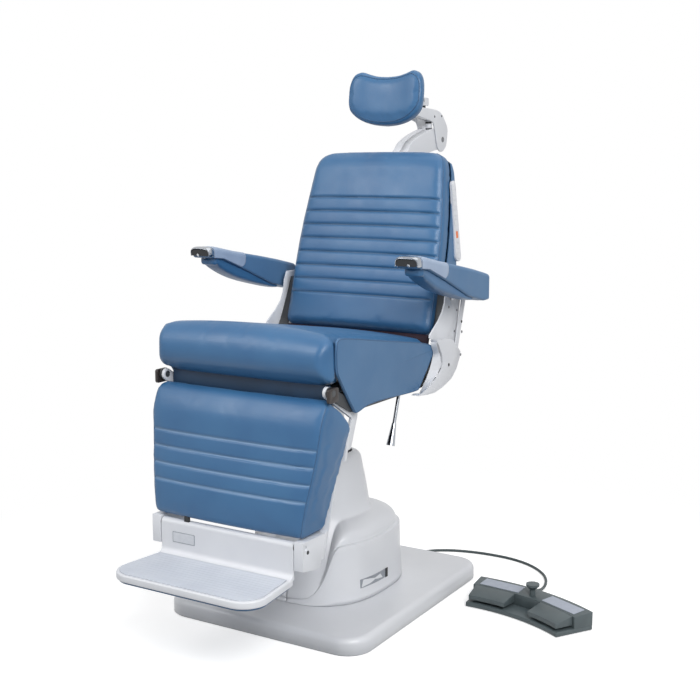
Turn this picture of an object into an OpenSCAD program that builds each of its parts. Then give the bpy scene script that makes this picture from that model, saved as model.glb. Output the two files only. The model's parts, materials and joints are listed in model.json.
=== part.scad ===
// Power examination chair for an eye clinic: a lifting, turning and reclining
// upholstered chair on a flat base, with a foot control on a cord.
// Lengths are in millimetres. The chair faces -Y, the sitter's left is +X and
// the origin is on the floor, under the column.

/* [Base] */
// Width of the moulded cover on the base plate
plate_w = 610; // [580:2:640]
// Length of the cover, front to back
plate_l = 716; // [690:2:740]
// Height of the cover's top above the floor
cover_h = 45; // [40:1:50]
// Radius of the cover's corners in plan
cover_corner_r = 70; // [60:1:90]
// Radius of the cover's top edge
cover_edge_r = 16; // [10:1:22]
// Thickness of the steel plate on the floor
plate_t = 12; // [8:1:16]
// Wall of the moulded covers
wall = 3; // [2:0.5:4]

/* [Shroud] */
// Width of the shroud at its foot
drum_w = 368; // [350:2:390]
// Reach of the shroud in front of the column's axis
drum_front = 222; // [200:2:240]
// Reach of the shroud behind the column's axis
drum_back = 205; // [190:2:220]
// Height of the ledge round the shroud's side wall
ledge_h = 202; // [200:2:230]
// Depth of the ledge
ledge_d = 9; // [3:0.5:10]
// Height of the domed cap above the ledge
cap_h = 44; // [30:2:60]
// Height of the tower's top
tower_h = 412; // [400:2:440]

/* [Lift] */
// Outside diameter of the fixed column tube
column_d = 100; // [96:1:104]
// Outside diameter of the rising column tube
ram_d = 84; // [80:1:88]
// Wall of the column tubes
column_wall = 6; // [4:0.5:7]
// Height of the turntable's underside with the chair down
turntable_z = 574; // [566:1:580]
// Diameter of the turntable
turntable_d = 200; // [170:2:220]

/* [Seat] */
// Half the width between the outer faces of the seat's side wings
seat_half = 262; // [260:1:264]
// Height of the seat's upholstery in front, at its sides
seat_z = 796; // [790:1:802]
// Distance of the front roll's axis in front of the column
roll_y = 373; // [366:1:380]
// Radius of the front roll
roll_r = 58; // [54:1:60]
// Length of the seat cushion behind the roll's axis
cushion_l = 482; // [470:1:490]
// Fall of the seat over its cushion's length
seat_fall = 74; // [66:1:82]
// Thickness of the seat cushion behind the roll
cushion_t = 76; // [68:1:80]
// Crown of the seat cushion
seat_crown = 14; // [4:1:16]

/* [Back] */
// Distance of the recline axis behind the column
hinge_y = 150; // [146:1:154]
// Height of the recline axis with the chair down
hinge_z = 662; // [658:1:666]
// Lean of the upright back from the vertical
back_lean = 15.6; // [12:0.2:18]
// Half the width of the back cushion at its foot
back_half = 240; // [232:1:242]
// Distance of the back cushion's foot from the recline axis, along the back
back_foot = 62; // [58:1:70]
// Length of the back cushion
back_l = 526; // [490:2:530]
// Depth of the back cushion behind its face
back_t = 50; // [44:1:54]
// Distance of the back cushion's face in front of the recline axis
back_face = 35; // [30:1:40]
// Crown of the back cushion
back_crown = 8; // [4:1:14]
// Distance from one sewn channel of the back to the next
back_pitch = 40; // [36:1:42]

/* [Leg rest] */
// Distance of the knee axis in front of the column
knee_y = 395; // [390:1:400]
// Height of the knee axis
knee_z = 666; // [662:1:670]
// Height of the leg rest pad
leg_l = 326; // [310:1:332]
// Half the width of the pad at its top
leg_half = 256; // [250:1:258]
// Depth that the pad's shares follow
leg_d = 150; // [140:1:156]
// Distance from one sewn channel of the leg rest to the next
leg_pitch = 40.5; // [36:0.5:42]

/* [Foot plate] */
// Half the width of the foot plate
tread_half = 200; // [190:1:201]
// Length of the tread
tread_l = 196; // [170:1:210]
// Thickness of the tread
tread_t = 18; // [18:1:26]
// Height of the plate's riser
riser_h = 76; // [70:1:84]
// Radius of the hinge barrel
barrel_r = 12; // [10:0.5:14]

/* [Arms] */
// Width of an arm
arm_w = 68; // [64:1:76]
// Length of an arm pad
arm_l = 430; // [420:1:440]
// Height that the arm's shares follow
arm_t = 150; // [140:1:156]

/* [Head rest] */
// Half the width of the head pad
head_half = 120; // [105:1:125]
// Height that the head pad's shares follow
head_h = 156; // [146:1:160]
// Thickness of the head pad
head_t = 44; // [38:1:50]
// How far the pad's wings reach in front of its middle
head_hollow = 16; // [8:1:20]

/* [Foot control] */
// Radius of the foot control's rear edge in plan
pedal_r = 600; // [590:1:620]
// Depth of the foot control, front to back
pedal_d = 115; // [110:1:120]
// Half of the angle that the foot control spans
pedal_angle = 18; // [17:0.2:19]
// Height of its housing
pedal_h = 50; // [46:1:54]
// Diameter of the button's cap
button_d = 36; // [30:1:38]
// Diameter of the cord
cord_d = 8; // [7:0.5:9]

/* [Hidden] */
$fn = 48;

// Overrun of every cut
cut = 4;
// Clearance of a shaft in its bore
running = 0.05;
// Clearance between soft forms, and between layers of plate
clear = 0.3;
// Steps round a form's small radii
round_steps = 4;
// Steps across a pad's face
face_steps = 10;

// Layers of plate beside the seat, from the middle outwards
layer_gap = 1;
rail_inset = 13.5;
rail_x = seat_half - rail_inset;
rail_t = 5;
legarm_t = 8;
legarm_gap = 2.5;
legarm_x = rail_x - legarm_gap - legarm_t;
wing_x = rail_x + rail_t + layer_gap;
backplate_x = seat_half + layer_gap;
backplate_t = 4;
carrier_x = backplate_x + backplate_t + layer_gap;
carrier_t = 3.6;
link_x = carrier_x + carrier_t + layer_gap;
link_t = 3.4;
cheek_x = link_x + link_t + layer_gap;
cheek_t = 3;
cover_x = cheek_x + cheek_t + clear;
cover_skin = 3;
sleeve_t = 1.2;
sleeve_gap = 0.2;
arm_in = cover_x + cover_skin + sleeve_t + 3 * clear;
pin_r = 8;
link_pin_r = 6;
link_hole_play = 0.3;

// Base
plate_margin = 0.6;
cover_lift = 3;
oval_fullness = 2.6;
tower_steps = 9;
cap_steps = 5;
shroud_columns = 18;
// Share of its foot's size that the shroud's wall keeps at the ledge
draft_share = 0.97;
shroud_margin = 1;
ram_foot_z = 70;
ram_play = 1.5;
flange_t = 10;
spigot_r = 30;
spigot_l = 30;
turntable_t = 12;
turntable_play = 0.3;
drive_d = 86;
drive_l = 150;
drive_x = 118;
gear_w = 90;
gear_l = 230;
gear_t = 40;
spindle_d = 26;
spindle_l = 330;
inlet_w = 48;
inlet_h = 30;
inlet_d = 26;
inlet_x = 70;
inlet_z = 80;
inlet_seat_share = 0.97;
blade_w = 2;
blade_h = 4;
blade_l = 12;
blade_pitch = 14;

// Share of the shroud's half sizes that its core keeps, at shares of the tower's height
core_shares = [[0, 1], [0.094, 0.965], [0.2, 0.885], [0.336, 0.765], [0.468, 0.645], [0.575, 0.56],
    [0.745, 0.505], [0.9, 0.45], [0.946, 0.435], [0.973, 0.41], [0.988, 0.38], [1, 0.32]];
// Share of the ledge's height, by direction in degrees from the left side towards the back
ledge_turns = [[-90, 0.06], [-76, 0.1], [-68, 0.22], [-63, 0.36], [-58, 0.56], [-54, 0.76],
    [-50, 0.92], [-45, 0.99], [-40, 1], [90, 1]];
// Share of the cap's height, by the same direction
cap_turns = [[-90, 0.12], [-62, 0.12], [-50, 0.45], [-40, 0.85], [-30, 1], [90, 1]];

// Seat
nose_steps = 6;
nose_start = 14;
nose_end = 80;
roll_wide = 3;
nose_round = 32;
// Thickness of the cushion as shares of its plain thickness, at shares of its length
under_shares = [[-0.0203, 1.5], [-0.019, 1.48], [0.018, 1.46], [0.03, 1.45], [0.055, 1.4],
    [0.07, 1.3], [0.09, 1.06], [0.12, 1], [0.3, 1], [0.5, 1], [0.7, 1], [0.88, 1]];
tail_r = 24;
pan_t = 10;
pan_inset = 14.5;
pan_half = rail_x - pan_inset;
pan_front = -316;
panel_t = 6;
panel_h = 40;
panel_inset = 12.5;
panel_half = rail_x - panel_inset;
wing_y = -382;
wing_z = 597;
wing_l = 494;
wing_h = 196;
wing_edge = 4;
wing_lip_h = 36;
// Rings of a wing: share of its edge radius inside its outer face, share of its bevel; -1 is the inner face
wing_ring_shares = [[-1, 0], [1, 0], [0.33, 0.35], [0, 1]];
wing_shares = [[0, 0.607], [0.176, 0], [0.324, 0.082], [0.822, 0.011], [1.032, 0.536], [0.95, 0.64],
    [0.5, 0.818], [0.065, 1], [0, 0.97]];
rail_knee_r = 14;
rail_low_y = -300;
rail_low_z = 617;
rail_low_r = 13;
rail_mid_y = 30;
rail_mid_z = 617;
rail_mid_r = 15;
rail_hinge_r = 24;
cross_r = 11;
cross_y = -324;
cross_z = 668;
cheek_foot_y = 112;
cheek_foot_z = 620;
web_x = 62;
web_t = 8;
web_front = 200;
web_back = 106;
cheek_foot_r = 10;
hood_y = -17;
hood_z = 589;
hood_l = 255;
hood_h = 140;
hood_shares = [[0.008, 0.057], [0.2, 0.014], [0.39, 0], [0.585, 0.057], [0.784, 0.164],
    [0.906, 0.329], [0.984, 0.543], [1, 0.643], [0.937, 0.743], [0.812, 0.921], [0.694, 0.979],
    [0.553, 1], [0.427, 1], [0.49, 0.864], [0.553, 0.693], [0.576, 0.536], [0.537, 0.421],
    [0.455, 0.307], [0.263, 0.15], [0.106, 0.079]];
link_foot_dy = 72;
link_foot_dz = 16;
link_foot_r = 10;
link_top_r = 12;
block_w = 42;
block_h = 35;
block_drop = 5;
block_corner = 6;
actuator_r = 24;
actuator_l = 278.5;
actuator_x = 150;
actuator_y = -260;
actuator_z = 617;
motor_r = 30;
motor_l = 90;
lever_x = 175;
lever_y = 92;
lever_z = 612;
lever_end_y = 34;
lever_end_z = 440;
lever_rod_r = 5;
lever_grip_r = 12;
lever_grip_top_r = 6;
lever_grip_l = 62;
lever_eye_r = 12;
lever_eye_w = 12;

// Leg rest
leg_foot_z = 322;
leg_low_shares = [0, 0.02, 0.05, 0.16];
leg_high_shares = [0.72, 0.78, 0.84, 0.89, 0.93, 0.965, 0.985, 1];
leg_groove = 4;
groove_half = 4;
leg_seams = 4;
leg_seam_top = 535;
leg_edge_r = 10;
leg_crown = 7;
leg_front_shares = [[0, 0.46], [0.02, 0.52], [0.05, 0.54], [0.65, 0.345], [0.8, 0.3], [0.9, 0.22],
    [0.96, 0.14], [1, 0.05]];
leg_back_shares = [[0, -0.145], [0.74, -0.62], [0.8, -0.555], [0.9, -0.3], [0.96, -0.08],
    [1, 0.01]];
leg_half_shares = [[0, 0.86], [0.05, 0.872], [0.28, 0.914], [0.52, 0.96], [0.8, 0.985],
    [0.95, 0.99], [1, 0.975]];
legpanel_t = 5;
legpanel_gap = 0.4;
legarm_end_y = -272;
legarm_end_z = 590;
legarm_end_r = 12;
bracket_in = 203;
bracket_out = 228;
bracket_y = -480;
bracket_z = 240;
bracket_l = 102;
bracket_h = 80;
bracket_shares = [[0, 0.12], [0.5, 0], [0.75, 0], [0.98, 0.98], [0, 1]];
foot_axis_y = -468;
foot_axis_z = 304;
foot_pin_r = 6;

// Foot plate
riser_t = 6;
cove_r = 16;
tread_corner_r = 60;
tread_wide = 15;
mat_t = 2;
mat_margin = 16;
mat_rib_w = 5;
mat_rib_h = 0.8;
mat_rib_pitch = 12;
sole_t = 5;
sole_margin = 6;

// Back
back_low_shares = [0, 0.02, 0.045, 0.09];
back_high_shares = [0.8, 0.87, 0.9, 0.93, 0.965, 0.985, 1];
back_groove = 4;
back_seams = 8;
back_seam_foot = 163;
back_edge_r = 26;
back_half_shares = [[0, 0.965], [0.03, 1], [0.2, 1], [0.45, 0.99], [0.87, 0.9013], [0.93, 0.872],
    [0.965, 0.83], [0.985, 0.74], [1, 0.54]];
back_face_shares = [[0, 0.35], [0.02, 0.7], [0.05, 1], [0.88, 1], [0.94, 0.86], [0.975, 0.5],
    [1, 0.1]];
shell_foot = 196;
shell_l = 370;
shell_d = 112;
shell_wall = 4;
shell_edge_r = 16;
shell_ring_shares = [0, 0.03, 0.27, 0.55, 0.7, 0.84, 0.93, 1];
shell_back_shares = [[0, 0.8], [0.03, 0.86], [0.27, 0.62], [0.55, 0.4], [0.7, 0.33], [0.84, 0.24],
    [0.93, 0.15], [1, 0.06]];
frame_y = -20;
frame_z = 14;
plate_shares = [[-0.1, -0.06], [-0.12, 0.06], [-0.17, 0.13], [-0.3, 0.24], [-0.42, 0.33],
    [-0.6, 0.37], [-0.58, 0.41], [-0.42, 0.47], [-0.16, 0.57], [0.05, 0.68], [0.17, 0.8],
    [0.22, 0.98], [0.34, 1.1], [0.95, 1.1], [1, 0.8], [0.87, 0.5], [0.72, 0.2], [0.3, -0.09]];
plate_hinge_r = 14;
plate_sx = 115;
plate_sz = 200;
cross_back_y = 34;
cross_back_z = 150;
cross_back_r = 15;
post_x = 120;
post_w = 24;
post_t = 10;
post_l = 300;
keypad_y = 298;
keypad_foot_z = 940;
keypad_l = 196;
keypad_w = 32;
keypad_t = 6;
keypad_taper = 5.3;
keypad_side_share = 0.99;
key_w = 20;
key_h = 15;
key_t = 1.6;
key_sink = 2;
key_play = 0.3;
key_place_shares = [0.89, 0.75, 0.61, 0.47, 0.3, 0.14, 0];
stop_w = 11;
stop_h = 19;

// Arms
carrier_dy = 58;
carrier_dz = 180;
carrier_r = 16;
arm_front_y = -149;
arm_base_z = 822;
arm_crown = 3;
arm_edge_r = 9;
arm_top_shares = [[0, 0.93], [0.015, 0.965], [0.086, 0.965], [0.27, 0.86], [0.54, 0.735],
    [0.753, 0.625], [0.928, 0.52], [0.97, 0.49], [1, 0.44]];
arm_foot_shares = [[0, 0.88], [0.03, 0.79], [0.135, 0.757], [0.376, 0.51], [0.685, 0.165],
    [0.907, 0.025], [0.97, 0.03], [1, 0.08]];
arm_ring_shares = [0, 0.015, 0.03, 0.05, 0.086, 0.135, 0.27, 0.376, 0.54, 0.685, 0.753, 0.907, 0.97, 1];
arm_pin_hole_play = 0.08;
sleeve_shares = [0.03, 0.05, 0.086, 0.135, 0.27, 0.376];
armshell_in = 8;
armshell_y = -104;
armshell_l = 292;
armshell_foot_shares = [[0, 0.66], [0.06, 0.58], [0.35, 0.35], [0.75, 0.16], [0.9, 0.1],
    [1, 0.07]];
armshell_ring_shares = [0, 0.022, 0.045, 0.13, 0.22, 0.31, 0.4, 0.55, 0.7, 0.855, 1];
armshell_gap = 0.4;
armshell_least = 2;

// Head rest
slide_y = 27;
slide_w = 40;
slide_t = 8;
slide_foot = 250;
slide_l = 315;
slide_play = 0.4;
slide_guide_l = 200;
slide_guide_t = 4;
headarm_half = 13;
headarm_foot_y = 337;
headarm_foot_z = 1197;
headarm_foot_r = 17;
headarm_r = 20;
elbow_y = 618;
elbow_z = 1268;
elbow_r = 34;
elbow_top_y = 612;
elbow_top_z = 1325;
elbow_top_r = 30;
head_axis_y = 402;
head_axis_z = 1354;
head_axis_r = 10;
elbow_bar_y = 552;
elbow_bar_z = 1341;
elbow_bar_r = 15;
elbow_x = 26;
elbow_t = 4;
elbow_pin_r = 7;
bumper_y = 557;
bumper_r = 10;
bumper_h = 50;
knob_y = 551;
knob_z = 1368;
knob_r = 16;
knob_l = 14;
head_y = 325;
head_z = 1300;
head_lean = 8;
head_fullness = 3.6;
head_steps = 16;
head_ring = 20;
head_top_shares = [[0, 0.905], [0.25, 0.915], [0.5, 0.96], [0.7, 1], [0.85, 0.96], [0.95, 0.85],
    [1, 0.66]];
head_foot_shares = [[0, 0], [0.25, 0.012], [0.5, 0.05], [0.7, 0.11], [0.85, 0.19], [0.95, 0.28],
    [1, 0.44]];
head_thick_shares = [[0, 1], [0.6, 1], [0.85, 0.9], [0.95, 0.7], [1, 0.4]];
headplate_w = 110;
headplate_h = 84;
headplate_t = 4;
headear_x = 19;
headear_t = 5;

// Foot control
control_x = 406.5;
control_y = -386.2;
control_turn = -14.5;
control_feet_t = 2;
control_base_t = 12;
housing_d = 58;
housing_front_h = 46;
pedal_gap = 1.5;
pedal_inner = 4.6;
pedal_outer = 17.2;
pedal_front_margin = 4;
pedal_rear_h = 46;
pedal_front_h = 34;
pedal_under = 22;
pedal_axis_z = 30;
pedal_axis_r = 3;
button_inset = 51;
button_r_place = pedal_r - button_inset;
button_cap_h = 16;
button_stem_r = 8;
button_lift = 18;
button_seat = 12;
grommet_angle = 5;
grommet_l = 20;
grommet_r = 8;
grommet_z = 24;
control_foot_r = 8;
gland_x = 70;
gland_z = 12;
gland_l = 30;
gland_r = 8;
gland_lip = 1;

// The cord's route from the gland on the base plate to the foot control's grommet
cord_route = [[70, 388.2, 12], [70, 398, 12], [71, 414, 9], [74, 430, 5], [81, 444, 4],
    [95, 459, 4], [115, 474, 4], [142, 489, 4], [174, 501, 4], [212, 510, 4], [252, 515, 4],
    [294, 516, 4], [336, 512, 4], [376, 501, 4], [413, 483, 4], [446, 458, 4], [474, 427, 4],
    [494, 391, 4], [506, 353, 4], [512, 315, 7], [515, 284, 14], [514, 258, 21], [510.8, 237.1, 24],
    [508.9, 225.5, 24]];
cord_sides = 8;

function lerp(a, b, t) = a + (b - a) * t;
function power(v, e) = sign(v) * pow(abs(v), e);

// Value at t in a table of [t, value] rows, along straight lines between the rows
function look(rows, t, i = 0) =
    t <= rows[0][0] ? rows[0][1] :
    i >= len(rows) - 1 ? rows[len(rows) - 1][1] :
    t <= rows[i + 1][0] ? lerp(rows[i][1], rows[i + 1][1], (t - rows[i][0]) / (rows[i + 1][0]
        - rows[i][0])) :
    look(rows, t, i + 1);

// Points of an outline of shares, scaled to a length and a height from a corner
function outline(shares, y, z, l, h) = [for (s = shares) [y + s[0] * l, z + s[1] * h]];

function middle(ring) = [for (i = [0:2]) [for (p = ring) p[i]] * [for (p = ring) 1] / len(ring)];

// Closed skin through rings of equal length, with fans of triangles over its ends
module skin(rings) {
    n = len(rings);
    k = len(rings[0]);
    points = concat([for (r = rings) each r], [middle(rings[0]), middle(rings[n - 1])]);
    sides = [for (i = [0:n - 2]) for (j = [0:k - 1])
        let (a = i * k + j, b = i * k + (j + 1) % k) each [[a, a + k, b + k], [a, b + k, b]]];
    foot = [for (j = [0:k - 1]) [j, (j + 1) % k, n * k]];
    top = [for (j = [0:k - 1]) [(n - 1) * k + (j + 1) % k, (n - 1) * k + j, n * k + 1]];
    polyhedron(concat(points), concat(sides, foot, top));
}

// Ring of a pad's section: the face is at the front, crowned, with round front corners
function pad_ring(half, front, back, r, crown, z) = concat(
    [for (i = [0:face_steps]) let (x = lerp(r - half, half - r, i / face_steps))
        [x, front - crown * (1 - pow(x / half, 2)), z]],
    [for (i = [1:round_steps]) let (t = -90 + 90 * i / round_steps)
        [half - r + r * cos(t), front + r + r * sin(t), z]],
    [[half, back, z], [-half, back, z]],
    [for (i = [0:round_steps - 1]) let (t = 180 + 90 * i / round_steps)
        [r - half + r * cos(t), front + r + r * sin(t), z]]);

// Rounded rectangle in plan, counter-clockwise
function round_ring(w, l, r, z) = [for (q = [0:3]) for (i = [0:round_steps])
    let (t = 90 * q + 90 * i / round_steps, sx = (q == 0 || q == 3) ? 1 : -1, sy = q < 2 ? 1 : -1)
    [sx * (w / 2 - r) + r * cos(t), sy * (l / 2 - r) + r * sin(t), z]];

// Flat plate with true round corners
module round_plate(w, l, r, t) {
    linear_extrude(t) {
        square([w - 2 * r, l], center = true);
        square([w, l - 2 * r], center = true);
        for (x = [-1, 1]) {
            for (y = [-1, 1]) {
                translate([x * (w / 2 - r), y * (l / 2 - r)])
                    circle(r);
            }
        }
    }
}

// Turns a profile drawn in Y and Z so that it is extruded along X
module across(x, t) {
    translate([x, 0, 0])
        rotate([90, 0, 90])
            linear_extrude(t)
                children();
}

// Both sides of the chair
module both() {
    children();
    mirror([1, 0, 0])
        children();
}

// Pin along X
module pin_x(y, z, r, x0, x1) {
    translate([x0, y, z])
        rotate([0, 90, 0])
            cylinder(r = r, h = x1 - x0);
}

// Flat link between two round ends, drawn with its tangents
module link_profile(p, rp, q, rq) {
    d = norm(q - p);
    along = atan2(q[1] - p[1], q[0] - p[0]);
    lean = asin((rp - rq) / d);
    translate(p)
        circle(rp);
    translate(q)
        circle(rq);
    polygon([for (e = [[p, rp, 1], [q, rq, 1], [q, rq, -1], [p, rp, -1]])
        e[0] + e[1] * [cos(along + e[2] * (90 - lean)), sin(along + e[2] * (90 - lean))]]);
}

// Base
module base_plate() {
    color("dimgray")
        round_plate(plate_w - 2 * (wall + plate_margin), plate_l - 2 * (wall + plate_margin),
            cover_corner_r - wall, plate_t);
}

function cover_rings(grow, top) = concat(
    [round_ring(plate_w + grow, plate_l + grow, cover_corner_r, cover_lift)],
    [for (i = [0:round_steps + 1]) let (t = 90 * i / (round_steps + 1), s = cover_edge_r * (1 - cos(t)))
        round_ring(plate_w + grow - 2 * s, plate_l + grow - 2 * s, cover_corner_r - s,
            top - cover_edge_r + cover_edge_r * sin(t))]);

module base_cover() {
    color("gainsboro")
        difference() {
            skin(cover_rings(0, cover_h));
            translate([0, 0, -cut])
                round_plate(plate_w - 2 * wall, plate_l - 2 * wall, cover_corner_r - wall,
                    cover_h - cover_edge_r + cut);
            translate([0, 0, -cut])
                round_plate(plate_w - 2 * cover_edge_r, plate_l - 2 * cover_edge_r,
                    cover_corner_r - cover_edge_r, cover_h - wall + cut);
            round_plate(2 * drive_x + gear_w + 2 * shroud_margin + cut, gear_w + 10 * cut, gear_w / 4,
                cover_h + cut);
        }
}

// Plan of the shroud in a direction: an oval, fuller than an ellipse, of a share of its size
function plan(t, share) = [drum_w / 2 * power(cos(t), 2 / oval_fullness) * share,
    (sin(t) < 0 ? drum_front : drum_back) * power(sin(t), 2 / oval_fullness) * share];

// Rows of one column of the shroud, as [share of the plan, height], from the foot to the top
function shroud_rows(t) =
    let (foot = cover_h + shroud_margin, rise = tower_h - foot,
        ledge = foot + (ledge_h - foot) * look(ledge_turns, t),
        step = draft_share - 2 * ledge_d / drum_w, cap = cap_h * look(cap_turns, t),
        cap_top = ledge + wall + cap)
    concat([[1, foot], [(1 + draft_share) / 2, (foot + ledge) / 2], [draft_share, ledge]],
        [for (i = [0:cap_steps]) let (a = 90 * i / cap_steps, z = ledge + wall + cap * sin(a),
            core = look(core_shares, (z - foot) / rise))
            [max(core, lerp(core, step, cap > 0 ? pow(cos(a), 0.8) : 0)), z]],
        [for (i = [1:tower_steps]) let (z = lerp(cap_top, tower_h, i / tower_steps))
            [look(core_shares, (z - foot) / rise), z]]);

// Ring of the shroud's outer or inner sheet through all its columns, at one row
function shroud_ring(i, inset) = [for (j = [0:2 * shroud_columns - 1])
    let (turn = -90 + 180 * j / shroud_columns, t = turn > 90 ? 180 - turn : turn,
        row = shroud_rows(t)[i],
        p = plan(t, row[0]), r = norm(p), drop = i == 0 ? (inset > 0 ? cut : 0) : i > 2 ? inset : 0)
    [(turn > 90 ? -1 : 1) * p[0] * (r - inset) / r, p[1] * (r - inset) / r, row[1] - drop]];

module shroud_form(inset) {
    skin([for (i = [0:len(shroud_rows(0)) - 1]) shroud_ring(i, inset)]);
}

// One half of the shroud, parted on the middle plane
module shroud_half() {
    difference() {
        shroud_form(0);
        shroud_form(wall);
        cylinder(r = column_d / 2 + shroud_margin, h = tower_h + cut);
        translate([-drum_w, -drum_w, 0])
            cube([drum_w + running, 2 * drum_w, tower_h + cut]);
    }
}

module shroud_left() {
    color("gainsboro")
        difference() {
            shroud_half();
            translate([inlet_x - inlet_w / 2 - clear, drum_back / 2, inlet_z - inlet_h / 2 - clear])
                cube([inlet_w + 2 * clear, drum_back, inlet_h + 2 * clear]);
        }
}

module shroud_right() {
    color("gainsboro")
        mirror([1, 0, 0])
            shroud_half();
}

module column_outer() {
    color("darkgray")
        difference() {
            translate([0, 0, plate_t])
                cylinder(d = column_d, h = tower_h - plate_t);
            translate([0, 0, plate_t + column_wall])
                cylinder(r = ram_d / 2 + ram_play / 2, h = tower_h);
        }
}

module lift_drive() {
    color("dimgray") {
        translate([-drive_x, 0, plate_t + gear_t])
            cylinder(d = drive_d, h = drive_l);
        translate([-drive_x - gear_w / 2, -gear_w / 2, plate_t])
            cube([gear_w, gear_w, gear_t]);
    }
    color("silver")
        translate([0, 0, plate_t + column_wall])
            cylinder(d = spindle_d, h = spindle_l);
}

module mains_inlet() {
    color([0.1, 0.1, 0.1])
        translate([inlet_x, drum_back * inlet_seat_share - inlet_d, inlet_z])
            difference() {
                translate([-inlet_w / 2, 0, -inlet_h / 2])
                    cube([inlet_w, inlet_d, inlet_h]);
                translate([wall - inlet_w / 2, wall + blade_l / 2, wall - inlet_h / 2])
                    cube([inlet_w - 2 * wall, inlet_d, inlet_h - 2 * wall]);
            }
    color("silver")
        translate([inlet_x, drum_back * inlet_seat_share - inlet_d + wall + blade_l / 2, inlet_z])
            for (i = [-1:1]) {
                translate([i * blade_pitch - blade_w / 2, -running, -blade_h / 2])
                    cube([blade_w, blade_l, blade_h]);
            }
}
module cable_gland() {
    color([0.15, 0.16, 0.17])
        translate([gland_x, plate_l / 2, gland_z])
            rotate([-90, 0, 0]) {
                cylinder(r1 = gland_r, r2 = cord_d / 2 + gland_lip, h = gland_l, $fn = 32);
            }
}

// Foot control, in its own polar frame
module at_control() {
    translate([control_x, control_y, 0])
        rotate([0, 0, control_turn])
            children();
}

// Slice of a ring about the control's centre, from one polar angle to another
module ring_slice(r0, r1, a0, a1, h) {
    rotate([0, 0, 90 - a1])
        rotate_extrude(angle = a1 - a0, $fn = 180)
            translate([r0, 0])
                square([r1 - r0, h]);
}

module foot_control_base() {
    color([0.33, 0.36, 0.37])
        at_control()
            translate([0, 0, control_feet_t])
                ring_slice(pedal_r - pedal_d, pedal_r, -pedal_angle, pedal_angle, control_base_t);
}

module foot_control_feet() {
    color([0.1, 0.1, 0.1])
        at_control()
            for (a = [-1, 1]) {
                for (r = [pedal_r - pedal_d + 2 * control_foot_r, pedal_r - 2 * control_foot_r]) {
                    rotate([0, 0, a * (pedal_angle - 2)])
                        translate([0, r, 0])
                            cylinder(r = control_foot_r, h = control_feet_t);
                }
            }
}

module foot_control_housing() {
    deck = control_feet_t + control_base_t;
    color([0.33, 0.36, 0.37])
        at_control()
            difference() {
                union() {
                    rotate([0, 0, 90 - pedal_angle])
                        rotate_extrude(angle = 2 * pedal_angle, $fn = 180)
                            polygon([[pedal_r - housing_d, deck], [pedal_r, deck], [pedal_r, pedal_h],
                                [pedal_r - housing_d, housing_front_h]]);
                    pedal_pin(-1, pedal_axis_r, 0);
                    pedal_pin(1, pedal_axis_r, 0);
                    rotate([0, 0, grommet_angle])
                        translate([0, pedal_r - wall, grommet_z])
                            rotate([-90, 0, 0])
                                cylinder(r1 = grommet_r, r2 = cord_d / 2 + gland_lip,
                                    h = grommet_l + wall, $fn = 32);
                }
                translate([0, button_r_place + button_seat, housing_front_h - button_lift
                    - button_lift / 2])
                    cylinder(r = button_stem_r + running, h = pedal_h);
            }
}
// Radial pin that a pedal rocks on
module pedal_pin(side, r, longer) {
    rotate([0, 0, side * (pedal_inner + pedal_outer) / 2])
        translate([0, pedal_r - pedal_d + pedal_front_margin + 4 * pedal_axis_r - longer, pedal_axis_z])
            rotate([-90, 0, 0])
                cylinder(r = r, h = pedal_d - housing_d - 4 * pedal_axis_r + cut + longer);
}

module pedal(side) {
    inner = pedal_r - pedal_d + pedal_front_margin;
    outer = pedal_r - housing_d - pedal_gap;
    color([0.36, 0.39, 0.4])
        at_control()
            difference() {
                rotate([0, 0, 90 + (side > 0 ? pedal_inner : -pedal_outer)])
                    rotate_extrude(angle = pedal_outer - pedal_inner, $fn = 180)
                        polygon([[inner, pedal_under], [outer, pedal_under], [outer, pedal_rear_h],
                            [inner, pedal_front_h]]);
                pedal_pin(side, pedal_axis_r + running, 1);
            }
}

module pedal_left() {
    pedal(-1);
}

module pedal_right() {
    pedal(1);
}

module foot_button() {
    top = housing_front_h + button_lift;
    color([0.3, 0.33, 0.34])
        at_control()
            translate([0, button_r_place + button_seat, 0]) {
                translate([0, 0, housing_front_h - button_lift / 2])
                    cylinder(r = button_stem_r, h = 1.5 * button_lift);
                translate([0, 0, top])
                    intersection() {
                        cylinder(d1 = 2 * button_stem_r, d2 = button_d * 1.3, h = button_cap_h);
                        cylinder(d = button_d, h = button_cap_h);
                    }
            }
}

// Round tube swept along a list of points, with its ends closed
module tube_along(route, r, sides) {
    n = len(route);
    heading = [for (i = [0:n - 1]) let (v = route[min(i + 1, n - 1)]
        - route[max(i - 1, 0)]) v / norm(v)];
    rings = [for (i = [0:n - 1]) let (side = cross(heading[i], [0, 0, 1]), s = side / norm(side),
        u = cross(s, heading[i])) [for (j = [0:sides - 1]) let (a = 360 * (j + 0.5) / sides)
            route[i] + r * (s * cos(a) + u * sin(a))]];
    skin(rings);
}

module foot_cord() {
    color([0.24, 0.28, 0.29])
        tube_along(cord_route, cord_d / 2, cord_sides);
}

// Lift and turntable
module column_inner() {
    top = turntable_z - turntable_play;
    color("silver")
        difference() {
            union() {
                translate([0, 0, ram_foot_z])
                    cylinder(d = ram_d, h = top - ram_foot_z - flange_t);
                translate([0, 0, top - flange_t])
                    cylinder(d = turntable_d - 4 * flange_t, h = flange_t);
            }
            translate([0, 0, ram_foot_z - cut])
                cylinder(d = ram_d - 2 * column_wall, h = top - ram_foot_z - spigot_l - flange_t + cut);
            translate([0, 0, ram_foot_z])
                cylinder(r = spigot_r + running, h = turntable_z);
        }
}

module turntable() {
    color("darkgray") {
        translate([0, 0, turntable_z])
            cylinder(d = turntable_d, h = turntable_t);
        translate([0, 0, turntable_z - spigot_l])
            cylinder(r = spigot_r, h = spigot_l);
    }
}

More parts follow.
